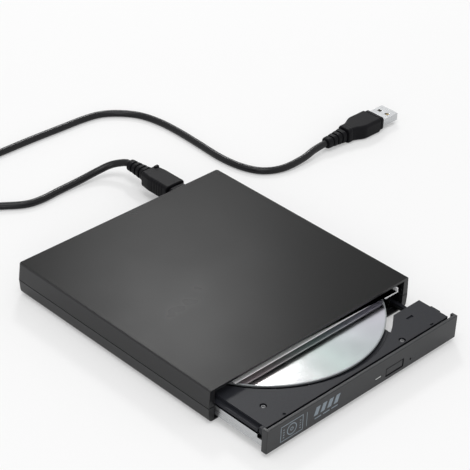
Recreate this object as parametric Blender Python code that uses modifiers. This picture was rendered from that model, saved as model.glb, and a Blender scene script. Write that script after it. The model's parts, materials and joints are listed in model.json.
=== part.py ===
"""External slim optical drive: a two-shell case round a tray-loading drive, with its USB lead.

Metres, +Z up. X is the width, -Y the front that the tray comes out of. The floor is z = 0, and the
origin is the middle of the footprint from the bezel's front face, tray partly out, to the case's back.
"""

import math

import bmesh
import bpy
from mathutils import Vector

MM = 0.001

# Bare drive
DRIVE_WIDTH = 128 * MM
DRIVE_DEPTH = 127 * MM
DRIVE_HEIGHT = 12.7 * MM
SHEET = 0.6 * MM
NOTCH_WIDTH = 28 * MM
NOTCH_DEPTH = 8 * MM

# Case shells round it
SIDE_WALL = 2.0 * MM
TOP_WALL = 1.3 * MM
BOTTOM_WALL = 1.0 * MM
SIDE_ROOM = 0.5 * MM
REAR_BAY = 4.5 * MM
ROOM_ABOVE = 2.2 * MM
DRAFT = 0.5 * MM
LOWER_SHELL = 7.6 * MM
SEAM = 0.3 * MM
CORNER = 1.5 * MM
LOWER_EDGE = 2.2 * MM
UPPER_EDGE = 0.7 * MM
COLLAR_DEPTH = 2.0 * MM
GAP = 0.3 * MM
FOOT_RADIUS = 4 * MM
FOOT_OUT = 0.8 * MM
FOOT_SUNK = 0.5 * MM
FOOT_INSET = 11 * MM

# Disc and tray
DISC_RADIUS = 60 * MM
DISC_HOLE = 7.5 * MM
DISC_THICKNESS = 1.2 * MM
DISC_OFFSET = 0.6 * MM
DISC_BACK = 68.6 * MM
DISC_LOW = 10.6 * MM
TRAY_OUT = 33 * MM
TRAY_LOW = 3.1 * MM
TRAY_TOP = 12.6 * MM
TRAY_FLOOR_TOP = 10.0 * MM
TRAY_FLOOR = 1.0 * MM
TRAY_WALL = 1.5 * MM
RECESS_ROOM = 3.2 * MM
LEDGE_TOP = 10.9 * MM
LEDGE_LOW = 9.2 * MM
LEDGE_WIDTH = 1.9 * MM
WING_DEPTH = 17.8 * MM
BODY_RIGHT = 34 * MM
TRAY_END_ROOM = 1.7 * MM

PEGS = ((30.9 * MM, 5.9 * MM), (-51.5 * MM, 14.95 * MM))
PEG_RADIUS = 1.2 * MM

# Latch: its pivot, how far it swings and where its throat is from the pivot
LATCH_PIVOT = (50 * MM, 9 * MM)
LATCH_SWING = math.radians(15)
THROAT = (-2.0 * MM, 5.9 * MM)

# Bezel and the button in it
BEZEL_OVER = 0.2 * MM
BEZEL_DEPTH = 3.3 * MM
BEZEL_LOW = 1.1 * MM
BEZEL_PLATE = 1.6 * MM
BEZEL_END = 1.5 * MM
BEZEL_SILL = 1.2 * MM
BUTTON_X = 19.9 * MM
BUTTON_Z = 5.4 * MM
BUTTON_SIZE = (11.3 * MM, 3.6 * MM)
BUTTON_PRESS = 0.5 * MM
SLIT_X = 8.7 * MM
SLIT_Z = 5.2 * MM
SLIT_SIZE = (4.2 * MM, 1.0 * MM)
PIN_HOLE_X = 31 * MM
PIN_HOLE_Z = 4.9 * MM
PIN_HOLE_RADIUS = 0.65 * MM

# Boards, the socket on the adapter's and the screws that hold the case
SWITCH_FRONT = 5.9 * MM
SMALL_BOARD = 0.8 * MM
DRIVE_BOARD_Z = (2.3 * MM, 3.1 * MM)
SOCKET = (7.9 * MM, 8.6 * MM, 4.1 * MM)
SOCKET_WALL = 0.35 * MM
WINDOW_DEPTH = 1.2 * MM
BOARD_LOW = 5.4 * MM
BOARD_THICK = 1.0 * MM
BOSS_RADIUS = 1.9 * MM
SCREW_HEAD = (1.3 * MM, 1.0 * MM)
SCREW_SHANK = 0.7 * MM

# Rails
RAIL_SHEET = 0.5 * MM
RAIL_LOW = 3.0 * MM
RAIL_HIGH = 8.0 * MM
RAIL_WIDTH = 2.7 * MM
RAIL_LENGTH = 106 * MM
FLAT_RAIL_LOW = 2.3 * MM
FLAT_RAIL_HIGH = 3.7 * MM
FLAT_RAIL_SHEET = 0.4 * MM
RUNNER_WIDTH = 2.0 * MM
RUNNER_HEIGHT = 1.2 * MM

# Traverse: spindle, rods and pickup, on a line at 45 degrees from the spindle to the front left
TRAVERSE_ANGLE = math.radians(225)
PLATE_LOW = 4.3 * MM
PLATE = 0.7 * MM
ROD_RADIUS = 1.0 * MM
ROD_Z = 6.8 * MM
ROD_SIDE = 15 * MM
LENS_PARKED = 24 * MM
SCREW_RADIUS = 1.0 * MM
SCREW_SIDE = 21 * MM
SCREW_Z = 6.4 * MM
BEARING_START = 57.3 * MM
COVER_LOW = 9.3 * MM
COVER = 0.3 * MM
ROD_SPAN = (11.3 * MM, 64.1 * MM)
MOTOR_RADIUS = 2.4 * MM
MOTOR_SPAN = (2 * MM, 12 * MM)
PICKUP_SPAN = (-9.5 * MM, 5.5 * MM)
PICKUP_TRAVEL = 34 * MM
DAMPERS = ((-8 * MM, 24.4 * MM), (45 * MM, 24.4 * MM), (20 * MM, -27.4 * MM))
DAMPER_POST = 1.0 * MM

# Lead
LEAD_RADIUS = 2.0 * MM
PLUG_FROM_NOTCH = 8.4 * MM
PLUG_NOSE = (10.4 * MM, 8.4 * MM, 7.4 * MM)
PLUG_GROOVE = 0.9 * MM
PLUG_BODY = (13.2 * MM, 20.8 * MM, 9 * MM)
PLUG_TAIL_WIDTH = 11.2 * MM
HOST_TIP = Vector((147.5 * MM, 79 * MM, 4.5 * MM))
HOST_BODY = (24 * MM, 14.6 * MM, 8.9 * MM)
HOST_TAIL_WIDTH = 9 * MM
RELIEF_LENGTH = 14.6 * MM
LEAD_STEPS = 64
# The lead's own route in mm, from the drive plug's relief round to the host plug's
LEAD_ROUTE = (
    (42.9, 132.4, 8.7),
    (38.8, 136.8, 6.9),
    (31.0, 139.6, 4.4),
    (20.0, 140.6, 2.7),
    (6.0, 140.7, 2.05),
    (-6.4, 140.0, 2.05),
    (-16.0, 141.9, 2.05),
    (-26.8, 149.1, 2.05),
    (-40.0, 158.6, 2.05),
    (-57.0, 163.5, 2.05),
    (-74.0, 169.0, 2.05),
    (-83.0, 181.0, 2.05),
    (-76.0, 193.0, 2.05),
    (-58.0, 198.0, 2.05),
    (-36.0, 196.0, 2.05),
    (-14.0, 193.0, 2.05),
    (7.0, 192.4, 2.05),
    (28.0, 192.3, 2.05),
    (50.4, 191.6, 2.05),
    (66.0, 191.0, 2.05),
    (77.0, 188.8, 2.05),
    (86.0, 182.6, 2.05),
    (93.0, 173.4, 2.05),
    (96.4, 161.0, 2.05),
    (97.2, 146.0, 2.05),
    (96.4, 127.6, 2.05),
    (95.4, 109.0, 2.05),
    (97.4, 94.4, 2.05),
    (103.0, 84.0, 2.05),
    (113.5, 78.6, 2.1),
    (127.5, 77.6, 2.9),
    (138.0, 78.6, 4.1),
)

# Worked out from the sizes above
CASE_WIDTH = DRIVE_WIDTH + 2 * (SIDE_ROOM + SIDE_WALL + DRAFT)
CASE_DEPTH = DRIVE_DEPTH + REAR_BAY + SIDE_WALL + DRAFT
CASE_HEIGHT = BOTTOM_WALL + GAP + DRIVE_HEIGHT + ROOM_ABOVE + TOP_WALL
CASE_LOW = FOOT_OUT
BEZEL_WIDTH = DRIVE_WIDTH + BEZEL_OVER
CASE_BACK = (CASE_DEPTH + TRAY_OUT) / 2
CASE_FRONT = CASE_BACK - CASE_DEPTH
BEZEL_FRONT = -CASE_BACK
DRIVE_LOW = BOTTOM_WALL + GAP
DRIVE_TOP = DRIVE_LOW + DRIVE_HEIGHT
FLOOR_TOP = DRIVE_LOW + SHEET
INNER_SIDE = DRIVE_WIDTH / 2 - SHEET
NOTCH_LEFT = DRIVE_WIDTH / 2 - NOTCH_WIDTH
NOTCH_FRONT = DRIVE_DEPTH - NOTCH_DEPTH
DISC_TOP = DISC_LOW + DISC_THICKNESS
RECESS_RADIUS = DISC_RADIUS + RECESS_ROOM
TRAY_FRONT = BEZEL_DEPTH + GAP
TRAY_BACK = DRIVE_DEPTH - SHEET + BEZEL_DEPTH - TRAY_END_ROOM
TRAY_LEFT = INNER_SIDE - GAP
TRAY_RIGHT = INNER_SIDE - 2.2 * MM
SKIRT_LEFT = INNER_SIDE - GAP - RAIL_WIDTH - 0.5 * MM
POCKET_TOP = TRAY_FLOOR_TOP - TRAY_FLOOR
WING_BACK = TRAY_FRONT + WING_DEPTH
SMALL_BOARD_Z = (TRAY_LOW, TRAY_LOW + SMALL_BOARD)
CONNECTOR_LOW = DRIVE_BOARD_Z[1] + GAP
BOARD_X = (NOTCH_LEFT + 1.3 * MM, DRIVE_WIDTH / 2 - 1.3 * MM)
BOARD_Y = (CASE_FRONT + NOTCH_FRONT + GAP + 0.4 * MM, CASE_BACK - DRAFT - SIDE_WALL - 0.5 * MM)
SCREW_XS = (-DRIVE_WIDTH / 2 + 6 * MM, NOTCH_LEFT - 6 * MM)
SCREW_Y = CASE_BACK - DRAFT - SIDE_WALL - BOSS_RADIUS - 0.1 * MM
ARM_Z = (ROD_Z - 1.5 * MM, ROD_Z + 1.5 * MM)
BLOCK_Z = (PLATE_LOW + PLATE / 2, ROD_Z + 1.4 * MM)
MOTOR_BASE = PLATE_LOW + PLATE + GAP
TABLE_TOP = DISC_LOW - GAP
PLUG_X = NOTCH_LEFT + PLUG_FROM_NOTCH
PLUG_Z = CASE_LOW + BOARD_LOW + BOARD_THICK + GAP + SOCKET[2] / 2
PLUG_FRONT = CASE_BACK - DRAFT - WINDOW_DEPTH + GAP
PLUG_BACK = PLUG_FRONT + PLUG_NOSE[1] + PLUG_GROOVE + PLUG_BODY[1]

PARTS = "external_optical_drive"
CUTTERS = "cutters"


def clear_scene():
    for obj in list(bpy.data.objects):
        bpy.data.objects.remove(obj, do_unlink=True)


def collection(name):
    if name not in bpy.data.collections:
        bpy.context.scene.collection.children.link(bpy.data.collections.new(name))
    return bpy.data.collections[name]


def paint(name, colour, roughness, metallic=0.0, transmission=0.0):
    """One Principled material for one piece."""
    material = bpy.data.materials.new(name)
    material.use_nodes = True
    shader = material.node_tree.nodes["Principled BSDF"]
    shader.inputs["Base Color"].default_value = (*colour, 1)
    shader.inputs["Roughness"].default_value = roughness
    shader.inputs["Metallic"].default_value = metallic
    shader.inputs["Transmission Weight"].default_value = transmission
    return material


BLACK_PLASTIC = ((0.035, 0.036, 0.036), 0.45)
TRAY_PLASTIC = ((0.045, 0.046, 0.052), 0.5)
STEEL = ((0.62, 0.62, 0.61), 0.35, 1.0)
DARK_STEEL = ((0.1, 0.1, 0.1), 0.45, 1.0)
SILVER = ((0.78, 0.79, 0.8), 0.28, 1.0)
RUBBER = ((0.02, 0.02, 0.02), 0.8)
BOARD = ((0.02, 0.13, 0.06), 0.5)
CHIP = ((0.02, 0.02, 0.022), 0.4)
DIE_CAST = ((0.4, 0.41, 0.42), 0.5, 1.0)
IVORY = ((0.75, 0.73, 0.66), 0.5)
MIRROR = ((0.82, 0.83, 0.85), 0.12, 1.0)
CLEAR = ((0.9, 0.92, 0.9), 0.1, 0.0, 0.8)


def link(obj, where=PARTS):
    collection(where).objects.link(obj)
    return obj


def hold(obj, parent):
    if parent is not None:
        obj.parent = parent
    return obj


def ride(obj, carrier):
    """Parents a piece that is already in its place in the world."""
    bpy.context.view_layer.update()
    obj.parent = carrier
    obj.matrix_parent_inverse = carrier.matrix_world.inverted()
    return obj


def empty(name, at, turn=0.0):
    obj = bpy.data.objects.new(name, None)
    obj.location = at
    obj.rotation_euler.z = turn
    obj.empty_display_size = 0.01
    return link(obj)


def mesh_object(name, bm, at, where=PARTS, smooth=False):
    mesh = bpy.data.meshes.new(name)
    bm.to_mesh(mesh)
    bm.free()
    if smooth:
        mesh.shade_smooth()
        mesh.set_sharp_from_angle(angle=math.radians(35))
    obj = bpy.data.objects.new(name, mesh)
    obj.location = at
    return link(obj, where)


def box(name, x, y, z, where=PARTS, parent=None):
    """A box between two x, two y and two z, with its origin in its middle."""
    size = [high - low for low, high in (x, y, z)]
    middle = [(high + low) / 2 for low, high in (x, y, z)]
    bm = bmesh.new()
    bmesh.ops.create_cube(bm, size=1)
    bmesh.ops.scale(bm, vec=size, verts=bm.verts)
    return hold(mesh_object(name, bm, middle, where), parent)


def rod(name, at, radius, span, axis="Z", steps=32, where=PARTS, parent=None):
    """A cylinder along an axis from span[0] to span[1]; at gives its other two coordinates."""
    bm = bmesh.new()
    bmesh.ops.create_cone(
        bm, cap_ends=True, segments=steps, radius1=radius, radius2=radius, depth=span[1] - span[0]
    )
    middle = list(at)
    middle.insert("XYZ".index(axis), (span[0] + span[1]) / 2)
    obj = mesh_object(name, bm, middle, where, smooth=True)
    if axis == "X":
        obj.rotation_euler.y = math.pi / 2
    elif axis == "Y":
        obj.rotation_euler.x = math.pi / 2
    return hold(obj, parent)


def plate(name, outline, z, where=PARTS, parent=None):
    """A flat piece of any outline between two z, made a mesh so that it can be cut."""
    curve = bpy.data.curves.new(name, "CURVE")
    curve.dimensions = "2D"
    curve.fill_mode = "BOTH"
    curve.extrude = (z[1] - z[0]) / 2
    spline = curve.splines.new("POLY")
    spline.points.add(len(outline) - 1)
    for point, (x, y) in zip(spline.points, outline):
        point.co = (x, y, 0, 1)
    spline.use_cyclic_u = True
    flat = bpy.data.objects.new(name + "_outline", curve)
    flat.location.z = (z[0] + z[1]) / 2
    return hold(made_mesh(link(flat, where), name, where), parent)


def made_mesh(source, name, where=PARTS):
    """The mesh of a curve object, its caps welded, in the curve's place."""
    bpy.context.view_layer.update()
    graph = bpy.context.evaluated_depsgraph_get()
    mesh = bpy.data.meshes.new_from_object(source.evaluated_get(graph))
    bm = bmesh.new()
    bm.from_mesh(mesh)
    bmesh.ops.remove_doubles(bm, verts=bm.verts, dist=0.001 * MM)
    bmesh.ops.recalc_face_normals(bm, faces=bm.faces)
    bm.to_mesh(mesh)
    bm.free()
    obj = bpy.data.objects.new(name, mesh)
    obj.matrix_world = source.matrix_world
    bpy.data.objects.remove(source, do_unlink=True)
    return link(obj, where)


def turned(name, profile, at, steps=48, closed=False, axis="Z", parent=None):
    """A turned piece. The profile is (radius, height) pairs down its outer side."""
    mesh = bpy.data.meshes.new(name)
    last = len(profile) - 1
    edges = [(i, i + 1) for i in range(last)] + ([(last, 0)] if closed else [])
    mesh.from_pydata([(r, 0, z) for r, z in profile], edges, [])
    obj = bpy.data.objects.new(name, mesh)
    obj.location = at
    screw = obj.modifiers.new("turn", "SCREW")
    screw.steps = screw.render_steps = steps
    screw.use_merge_vertices = True
    screw.merge_threshold = 0.0001 * MM
    screw.use_smooth_shade = False
    if axis == "Y":
        obj.rotation_euler.x = -math.pi / 2
    elif axis == "X":
        obj.rotation_euler.y = math.pi / 2
    return hold(link(obj), parent)


def boolean(obj, other, operation, solver="EXACT"):
    modifier = obj.modifiers.new(operation.lower(), "BOOLEAN")
    modifier.operation = operation
    modifier.solver = solver
    modifier.object = other
    other.hide_render = True
    other.display_type = "WIRE"
    return obj


def cut(obj, *others):
    for other in others:
        boolean(obj, other, "DIFFERENCE")
    return obj


def join(obj, *others):
    for other in others:
        boolean(obj, other, "UNION")
    return obj


def rounded(obj, width, segments=2, angle=40):
    bevel = obj.modifiers.new("round", "BEVEL")
    bevel.width = width
    bevel.segments = segments
    bevel.limit_method = "ANGLE"
    bevel.angle_limit = math.radians(angle)
    return obj


def finish(obj, look):
    obj.data.materials.clear()
    obj.data.materials.append(paint(obj.name, *look))
    return obj


def up(z):
    """A height above the case's underside, as a height above the floor."""
    return CASE_LOW + z


def heights(low, high):
    return up(low), up(high)


def behind_bezel(y):
    """A depth behind the bezel's front face, with the tray where it rests."""
    return BEZEL_FRONT + y


def tray_y(near, far):
    return behind_bezel(near), behind_bezel(far)


def drive_y(near, far):
    """Depths behind the case's front."""
    return CASE_FRONT + near, CASE_FRONT + far


def helper(shape, *size, **more):
    """A hidden shape for a Boolean."""
    return shape(*size, where=CUTTERS, **more)


def arc_at(y, radius):
    """Where the circle round the disc's centre has this depth, on its right."""
    return DISC_OFFSET + math.sqrt(radius**2 - (DISC_BACK - y) ** 2)


def wing_arc(radius, near, far, count=8):
    """The arc of a circle round the disc between two depths behind the bezel, far point first."""
    depths = [far + (near - far) * i / count for i in range(count + 1)]
    return [(arc_at(y, radius), behind_bezel(y)) for y in depths]


def arc_depth(x, radius):
    """The depth at which that circle's front passes an x."""
    return DISC_BACK - math.sqrt(radius**2 - (x - DISC_OFFSET) ** 2)


def around(middle, size):
    """The two ends of a length, from its middle."""
    return middle - size / 2, middle + size / 2


def height_about(middle, size):
    """The two ends of a height about a level above the case's underside."""
    return around(up(middle), size)


# ---- Case -------------------------------------------------------------------------------------


def case_half(name, low, high, narrow_top, edge):
    """Half of the case as a solid, drafted away from the seam and square at its front."""
    half = CASE_WIDTH / 2
    bm = bmesh.new()
    bmesh.ops.create_cube(bm, size=1)
    for vert in bm.verts:
        at_seam = (vert.co.z > 0) != narrow_top
        inset = 0 if at_seam else DRAFT
        x = math.copysign(half - inset, vert.co.x)
        y = CASE_BACK - inset if vert.co.y > 0 else CASE_FRONT
        vert.co = (x, y, up(high) if vert.co.z > 0 else up(low))
    outer = up(high) if narrow_top else up(low)
    upright = [side for side in bm.edges if on_rear_corner(side)]
    bmesh.ops.bevel(bm, geom=upright, offset=CORNER, segments=3, profile=0.5, affect="EDGES")
    around = [side for side in bm.edges if on_outer_rim(side, outer)]
    bmesh.ops.bevel(bm, geom=around, offset=edge, segments=3, profile=0.5, affect="EDGES")
    return mesh_object(name, bm, (0, 0, 0))


def on_rear_corner(side):
    """Whether an edge stands upright at the case's back."""
    ends = [vert.co for vert in side.verts]
    return all(co.y > 0 for co in ends) and abs(ends[0].z - ends[1].z) > CORNER


def on_outer_rim(side, outer):
    """Whether an edge lies round the case's top or underside, other than along its front."""
    ends = [vert.co for vert in side.verts]
    level = all(abs(co.z - outer) < GAP for co in ends)
    return level and any(co.y > CASE_FRONT + DRAFT for co in ends)


def case_room(low, high):
    """The space inside the walls, and the mouth whose sides cover the ends of the drive's walls."""
    side = CASE_WIDTH / 2 - DRAFT - SIDE_WALL
    back = CASE_BACK - DRAFT - SIDE_WALL
    z = heights(low, high)
    room = helper(box, "case_room", (-side, side), (CASE_FRONT + COLLAR_DEPTH, back), z)
    mouth_y = drive_y(-1 * MM, COLLAR_DEPTH + 1 * MM)
    return room, helper(box, "mouth", (-INNER_SIDE, INNER_SIDE), mouth_y, z)


def socket_window():
    """The opening that the plug's nose goes in by, half of it in each shell."""
    width, height = PLUG_NOSE[0] + 2 * GAP, PLUG_NOSE[2] + 2 * GAP
    x = (PLUG_X - width / 2, PLUG_X + width / 2)
    z = (PLUG_Z - height / 2, PLUG_Z + height / 2)
    back = CASE_BACK + 1 * MM
    window = helper(box, "socket_window", x, (CASE_BACK - DRAFT - WINDOW_DEPTH, back), z)
    slot_x = (PLUG_X - SOCKET[0] / 2 - GAP, PLUG_X + SOCKET[0] / 2 + GAP)
    slot_z = (PLUG_Z - SOCKET[2] / 2 - GAP, PLUG_Z + SOCKET[2] / 2 + GAP)
    slot = helper(box, "socket_slot", slot_x, (CASE_BACK - 4 * MM, back), slot_z)
    return window, slot


def bottom_cover():
    cover = case_half("bottom_cover", 0, LOWER_SHELL, narrow_top=False, edge=LOWER_EDGE)
    cut(cover, *case_room(BOTTOM_WALL, LOWER_SHELL + 1 * MM))
    for x in SCREW_XS:
        z = heights(BOTTOM_WALL / 2, LOWER_SHELL - GAP)
        join(cover, helper(rod, "boss", (x, SCREW_Y), BOSS_RADIUS, z, steps=24))
        head = (SCREW_HEAD[0] + 0.2 * MM, heights(-1 * MM, SCREW_HEAD[1] + 2 * GAP))
        cut(cover, helper(rod, "counterbore", (x, SCREW_Y), *head, steps=24))
        z = heights(0, LOWER_SHELL + 1 * MM)
        cut(cover, helper(rod, "screw_hole", (x, SCREW_Y), SCREW_SHANK + 0.2 * MM, z, steps=16))
    for x in (BOARD_X[0] + 3 * MM, BOARD_X[1] - 3 * MM):
        post = ((x - 1.2 * MM, x + 1.2 * MM), (BOARD_Y[1] - 6 * MM, BOARD_Y[1] - 3 * MM))
        join(cover, helper(box, "board_post", *post, heights(BOTTOM_WALL / 2, BOARD_LOW - GAP)))
    for at in foot_places():
        sunk = heights(-1 * MM, FOOT_SUNK)
        cut(cover, helper(rod, "foot_recess", at, FOOT_RADIUS + GAP, sunk, steps=32))
    cut(cover, *socket_window())
    return finish(cover, BLACK_PLASTIC)


def top_cover():
    low = LOWER_SHELL + SEAM
    cover = case_half("top_cover", low, CASE_HEIGHT, narrow_top=True, edge=UPPER_EDGE)
    cut(cover, *case_room(low - 1 * MM, CASE_HEIGHT - TOP_WALL))
    ceiling = CASE_HEIGHT - TOP_WALL / 2
    for x in (-CASE_WIDTH / 6, CASE_WIDTH / 6):
        rib = ((x - 0.6 * MM, x + 0.6 * MM), drive_y(8 * MM, NOTCH_FRONT - 4 * MM))
        join(cover, helper(box, "press_rib", *rib, heights(DRIVE_TOP + GAP, ceiling)))
    for x in SCREW_XS:
        boss = heights(low, ceiling)
        join(cover, helper(rod, "boss", (x, SCREW_Y), BOSS_RADIUS, boss, steps=24))
        hole = heights(low - 1 * MM, CASE_HEIGHT - 3 * MM)
        cut(cover, helper(rod, "pilot_hole", (x, SCREW_Y), SCREW_SHANK + 0.2 * MM, hole, steps=16))
    cut(cover, *socket_window())
    return finish(cover, BLACK_PLASTIC)


def foot_places():
    x = CASE_WIDTH / 2 - FOOT_INSET
    return [(sx * x, y) for y in (CASE_FRONT + FOOT_INSET, CASE_BACK - FOOT_INSET) for sx in (-1, 1)]


def feet():
    names = ("front_left", "front_right", "rear_left", "rear_right")
    for name, at in zip(names, foot_places()):
        foot = rod("foot_" + name, at, FOOT_RADIUS, (0, up(FOOT_SUNK - GAP)), steps=32)
        finish(foot, RUBBER)


def case_screws():
    for name, x in zip(("left", "right"), SCREW_XS):
        radius, height = SCREW_HEAD
        top = CASE_HEIGHT - 4.5 * MM
        profile = [
            (0, up(top)),
            (SCREW_SHANK, up(top - 0.5 * MM)),
            (SCREW_SHANK, up(GAP + height)),
            (radius, up(GAP + height)),
            (radius, up(GAP + 0.3 * MM)),
            (radius - 0.3 * MM, up(GAP)),
            (0, up(GAP)),
        ]
        screw = turned("case_screw_" + name, profile, (x, SCREW_Y, 0), 20)
        for turn in (0, math.pi / 2):
            slot = helper(
                box,
                "screw_cross",
                (-0.9 * MM, 0.9 * MM),
                (-0.2 * MM, 0.2 * MM),
                heights(GAP - 1 * MM, GAP + 0.5 * MM),
            )
            slot.location.x, slot.location.y, slot.rotation_euler.z = x, SCREW_Y, turn
            cut(screw, slot)
        finish(screw, DARK_STEEL)


# ---- Adapter behind the drive -------------------------------------------------------------------


def adapter():
    board_z = heights(BOARD_LOW, BOARD_LOW + BOARD_THICK)
    on_board = BOARD_LOW + BOARD_THICK + GAP
    finish(box("adapter_board", BOARD_X, BOARD_Y, board_z), BOARD)
    socket_back = CASE_BACK - DRAFT - WINDOW_DEPTH
    x = (PLUG_X - SOCKET[0] / 2, PLUG_X + SOCKET[0] / 2)
    y = (socket_back - SOCKET[1], socket_back)
    shell = box("usb_socket", x, y, heights(on_board, on_board + SOCKET[2]))
    rounded(shell, 0.5 * MM, 1)
    wall = SOCKET_WALL
    room_x = (x[0] + wall, x[1] - wall)
    room_y = (y[0] + wall, y[1] + 1 * MM)
    room_z = heights(on_board + wall, on_board + SOCKET[2] - wall)
    cut(shell, helper(box, "socket_room", room_x, room_y, room_z))
    finish(shell, SILVER)
    chip_x = (x[1] + 2 * MM, x[1] + 9 * MM)
    chip_z = heights(on_board, on_board + 1.1 * MM)
    finish(box("bridge_chip", chip_x, (BOARD_Y[0] + 2.4 * MM, BOARD_Y[1] - 1 * MM), chip_z), CHIP)
    can_z = heights(BOARD_LOW - GAP - 2.4 * MM, BOARD_LOW - GAP)
    can_y = (BOARD_Y[1] - 4.5 * MM, BOARD_Y[1] - 1 * MM)
    can = box("crystal", (PLUG_X - 2 * MM, PLUG_X + 6 * MM), can_y, can_z)
    finish(rounded(can, 1.2 * MM, 2), SILVER)


def drive_connector():
    """The plug and socket pair between the drive's board and the adapter's."""
    x = (BOARD_X[0] + 1 * MM, BOARD_X[1] - 4 * MM)
    y = (CASE_FRONT + NOTCH_FRONT - 3.6 * MM, CASE_FRONT + NOTCH_FRONT + 0.4 * MM)
    z = heights(CONNECTOR_LOW, CONNECTOR_LOW + 2.8 * MM)
    finish(box("drive_connector", x, y, z), IVORY)
    return x, y, z


def connector_opening():
    x = (BOARD_X[0] + 1 * MM - GAP, BOARD_X[1] - 4 * MM + GAP)
    y = drive_y(NOTCH_FRONT - 2 * MM, NOTCH_FRONT + 1 * MM)
    return helper(box, "connector_opening", x, y, heights(CONNECTOR_LOW - GAP, CONNECTOR_LOW + 3.1 * MM))


# ---- Drive casing -------------------------------------------------------------------------------


def drive_outline(inset, front):
    """The drive's plan with its rear right notch, moved in from every wall by one distance."""
    side = DRIVE_WIDTH / 2 - inset
    return [
        (-side, front),
        (side, front),
        (side, CASE_FRONT + NOTCH_FRONT - inset),
        (NOTCH_LEFT - inset, CASE_FRONT + NOTCH_FRONT - inset),
        (NOTCH_LEFT - inset, CASE_FRONT + DRIVE_DEPTH - inset),
        (-side, CASE_FRONT + DRIVE_DEPTH - inset),
    ]


def drive_chassis():
    start = CASE_FRONT + COLLAR_DEPTH + GAP
    top = DRIVE_TOP - SHEET - GAP
    pan = plate("drive_chassis", drive_outline(0, start), heights(DRIVE_LOW, top))
    room = drive_outline(SHEET, start - 1 * MM)
    cut(pan, helper(plate, "chassis_room", room, heights(FLOOR_TOP, top + 1 * MM)))
    cut(pan, connector_opening())
    wall = -INNER_SIDE - SHEET / 2
    for y in (10 * MM, DRIVE_DEPTH / 2, DRIVE_DEPTH - 14 * MM):
        tab = ((wall, wall + 1.6 * MM), drive_y(y, y + 7 * MM))
        join(pan, helper(box, "rail_keeper", *tab, heights(RAIL_HIGH + GAP, RAIL_HIGH + 0.8 * MM)))
    return finish(pan, DARK_STEEL)


def drive_lid():
    """The steel lid, its front edge set back at the left, with a tongue at the right turned up."""
    start = CASE_FRONT + 0.15 * MM
    tip = start - 1.4 * MM
    side = DRIVE_WIDTH / 2
    tongue = (side - 15.4 * MM, side - 6.2 * MM)
    outline = drive_outline(0, start + 4 * MM)[1:]
    outline += [(-side, start + 4 * MM), (-side + 13.3 * MM, start + 4 * MM), (-side + 13.3 * MM, start)]
    outline += [(tongue[0], start), (tongue[0], tip), (tongue[1], tip), (tongue[1], start + 4 * MM)]
    lid = plate("drive_lid", outline, heights(DRIVE_TOP - SHEET, DRIVE_TOP))
    flap_z = heights(DRIVE_TOP - SHEET / 2, DRIVE_TOP + ROOM_ABOVE - GAP)
    edge = 0.1 * MM
    flap_x = (tongue[1] - SHEET - edge, tongue[1] - edge)
    flap = helper(box, "flap", flap_x, (tip + edge, tip + 4 * MM), flap_z)
    return finish(boolean(lid, flap, "UNION", "MANIFOLD"), STEEL)


def rail_guides():
    bed_x = (-INNER_SIDE + GAP, -INNER_SIDE + GAP + RAIL_WIDTH + 0.2 * MM)
    bed_y = drive_y(3 * MM, DRIVE_DEPTH - 6 * MM)
    bed = box("left_guide", bed_x, bed_y, heights(FLOOR_TOP + GAP, RAIL_LOW - GAP))
    finish(bed, BLACK_PLASTIC)
    inner = flat_rail_x()[0] - GAP
    wall_z = heights(FLOOR_TOP + GAP, FLAT_RAIL_HIGH + 1.2 * MM)
    wall = box("right_guide", (inner - 1 * MM, inner), drive_y(4 * MM, NOTCH_FRONT - 10 * MM), wall_z)
    finish(wall, BLACK_PLASTIC)


def drive_board():
    """The main board beside the tray's body, reaching back to the connector."""
    right = flat_rail_x()[0] - GAP - 1 * MM - GAP
    x = (BODY_RIGHT + 2 * MM, right)
    y = drive_y(26 * MM, NOTCH_FRONT - SHEET - GAP)
    finish(box("drive_board", x, y, heights(*DRIVE_BOARD_Z)), BOARD)
    chip_low = DRIVE_BOARD_Z[1] + GAP
    middle = (x[0] + x[1]) / 2
    for name, near, half in (("controller_chip", 56 * MM, 6 * MM), ("driver_chip", 84 * MM, 4 * MM)):
        chip_x = (middle - half, middle + half)
        chip_y = drive_y(near, near + 2 * half)
        finish(box(name, chip_x, chip_y, heights(chip_low, chip_low + 1.2 * MM)), CHIP)


# ---- Rails --------------------------------------------------------------------------------------


def flat_rail_x():
    """The right rail runs under the tray's right wall."""
    inner = TRAY_RIGHT - TRAY_WALL + 0.2 * MM - GAP - FLAT_RAIL_SHEET
    return inner, inner + RUNNER_WIDTH + 2 * (GAP + FLAT_RAIL_SHEET)


def left_rail(carrier):
    """A steel channel, open towards the tray, its front end cut down."""
    x = (-INNER_SIDE + GAP, -INNER_SIDE + GAP + RAIL_WIDTH)
    front = BEZEL_DEPTH + 0.6 * MM
    y = tray_y(front, front + RAIL_LENGTH)
    rail = box("left_rail", x, y, heights(RAIL_LOW, RAIL_HIGH))
    room_x = (x[0] + RAIL_SHEET, x[1] + 1 * MM)
    room_y = (y[0] - 1 * MM, y[1] + 1 * MM)
    room_z = heights(RAIL_LOW + RAIL_SHEET, RAIL_HIGH - RAIL_SHEET)
    cut(rail, helper(box, "rail_room", room_x, room_y, room_z))
    step_x = (x[0] - 1 * MM, x[1] + 1 * MM)
    step_z = heights(RAIL_HIGH - 1.8 * MM, 20 * MM)
    cut(rail, helper(box, "rail_step", step_x, (y[0] - 1 * MM, y[0] + 3 * MM), step_z))
    return ride(finish(rail, SILVER), carrier)


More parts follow.
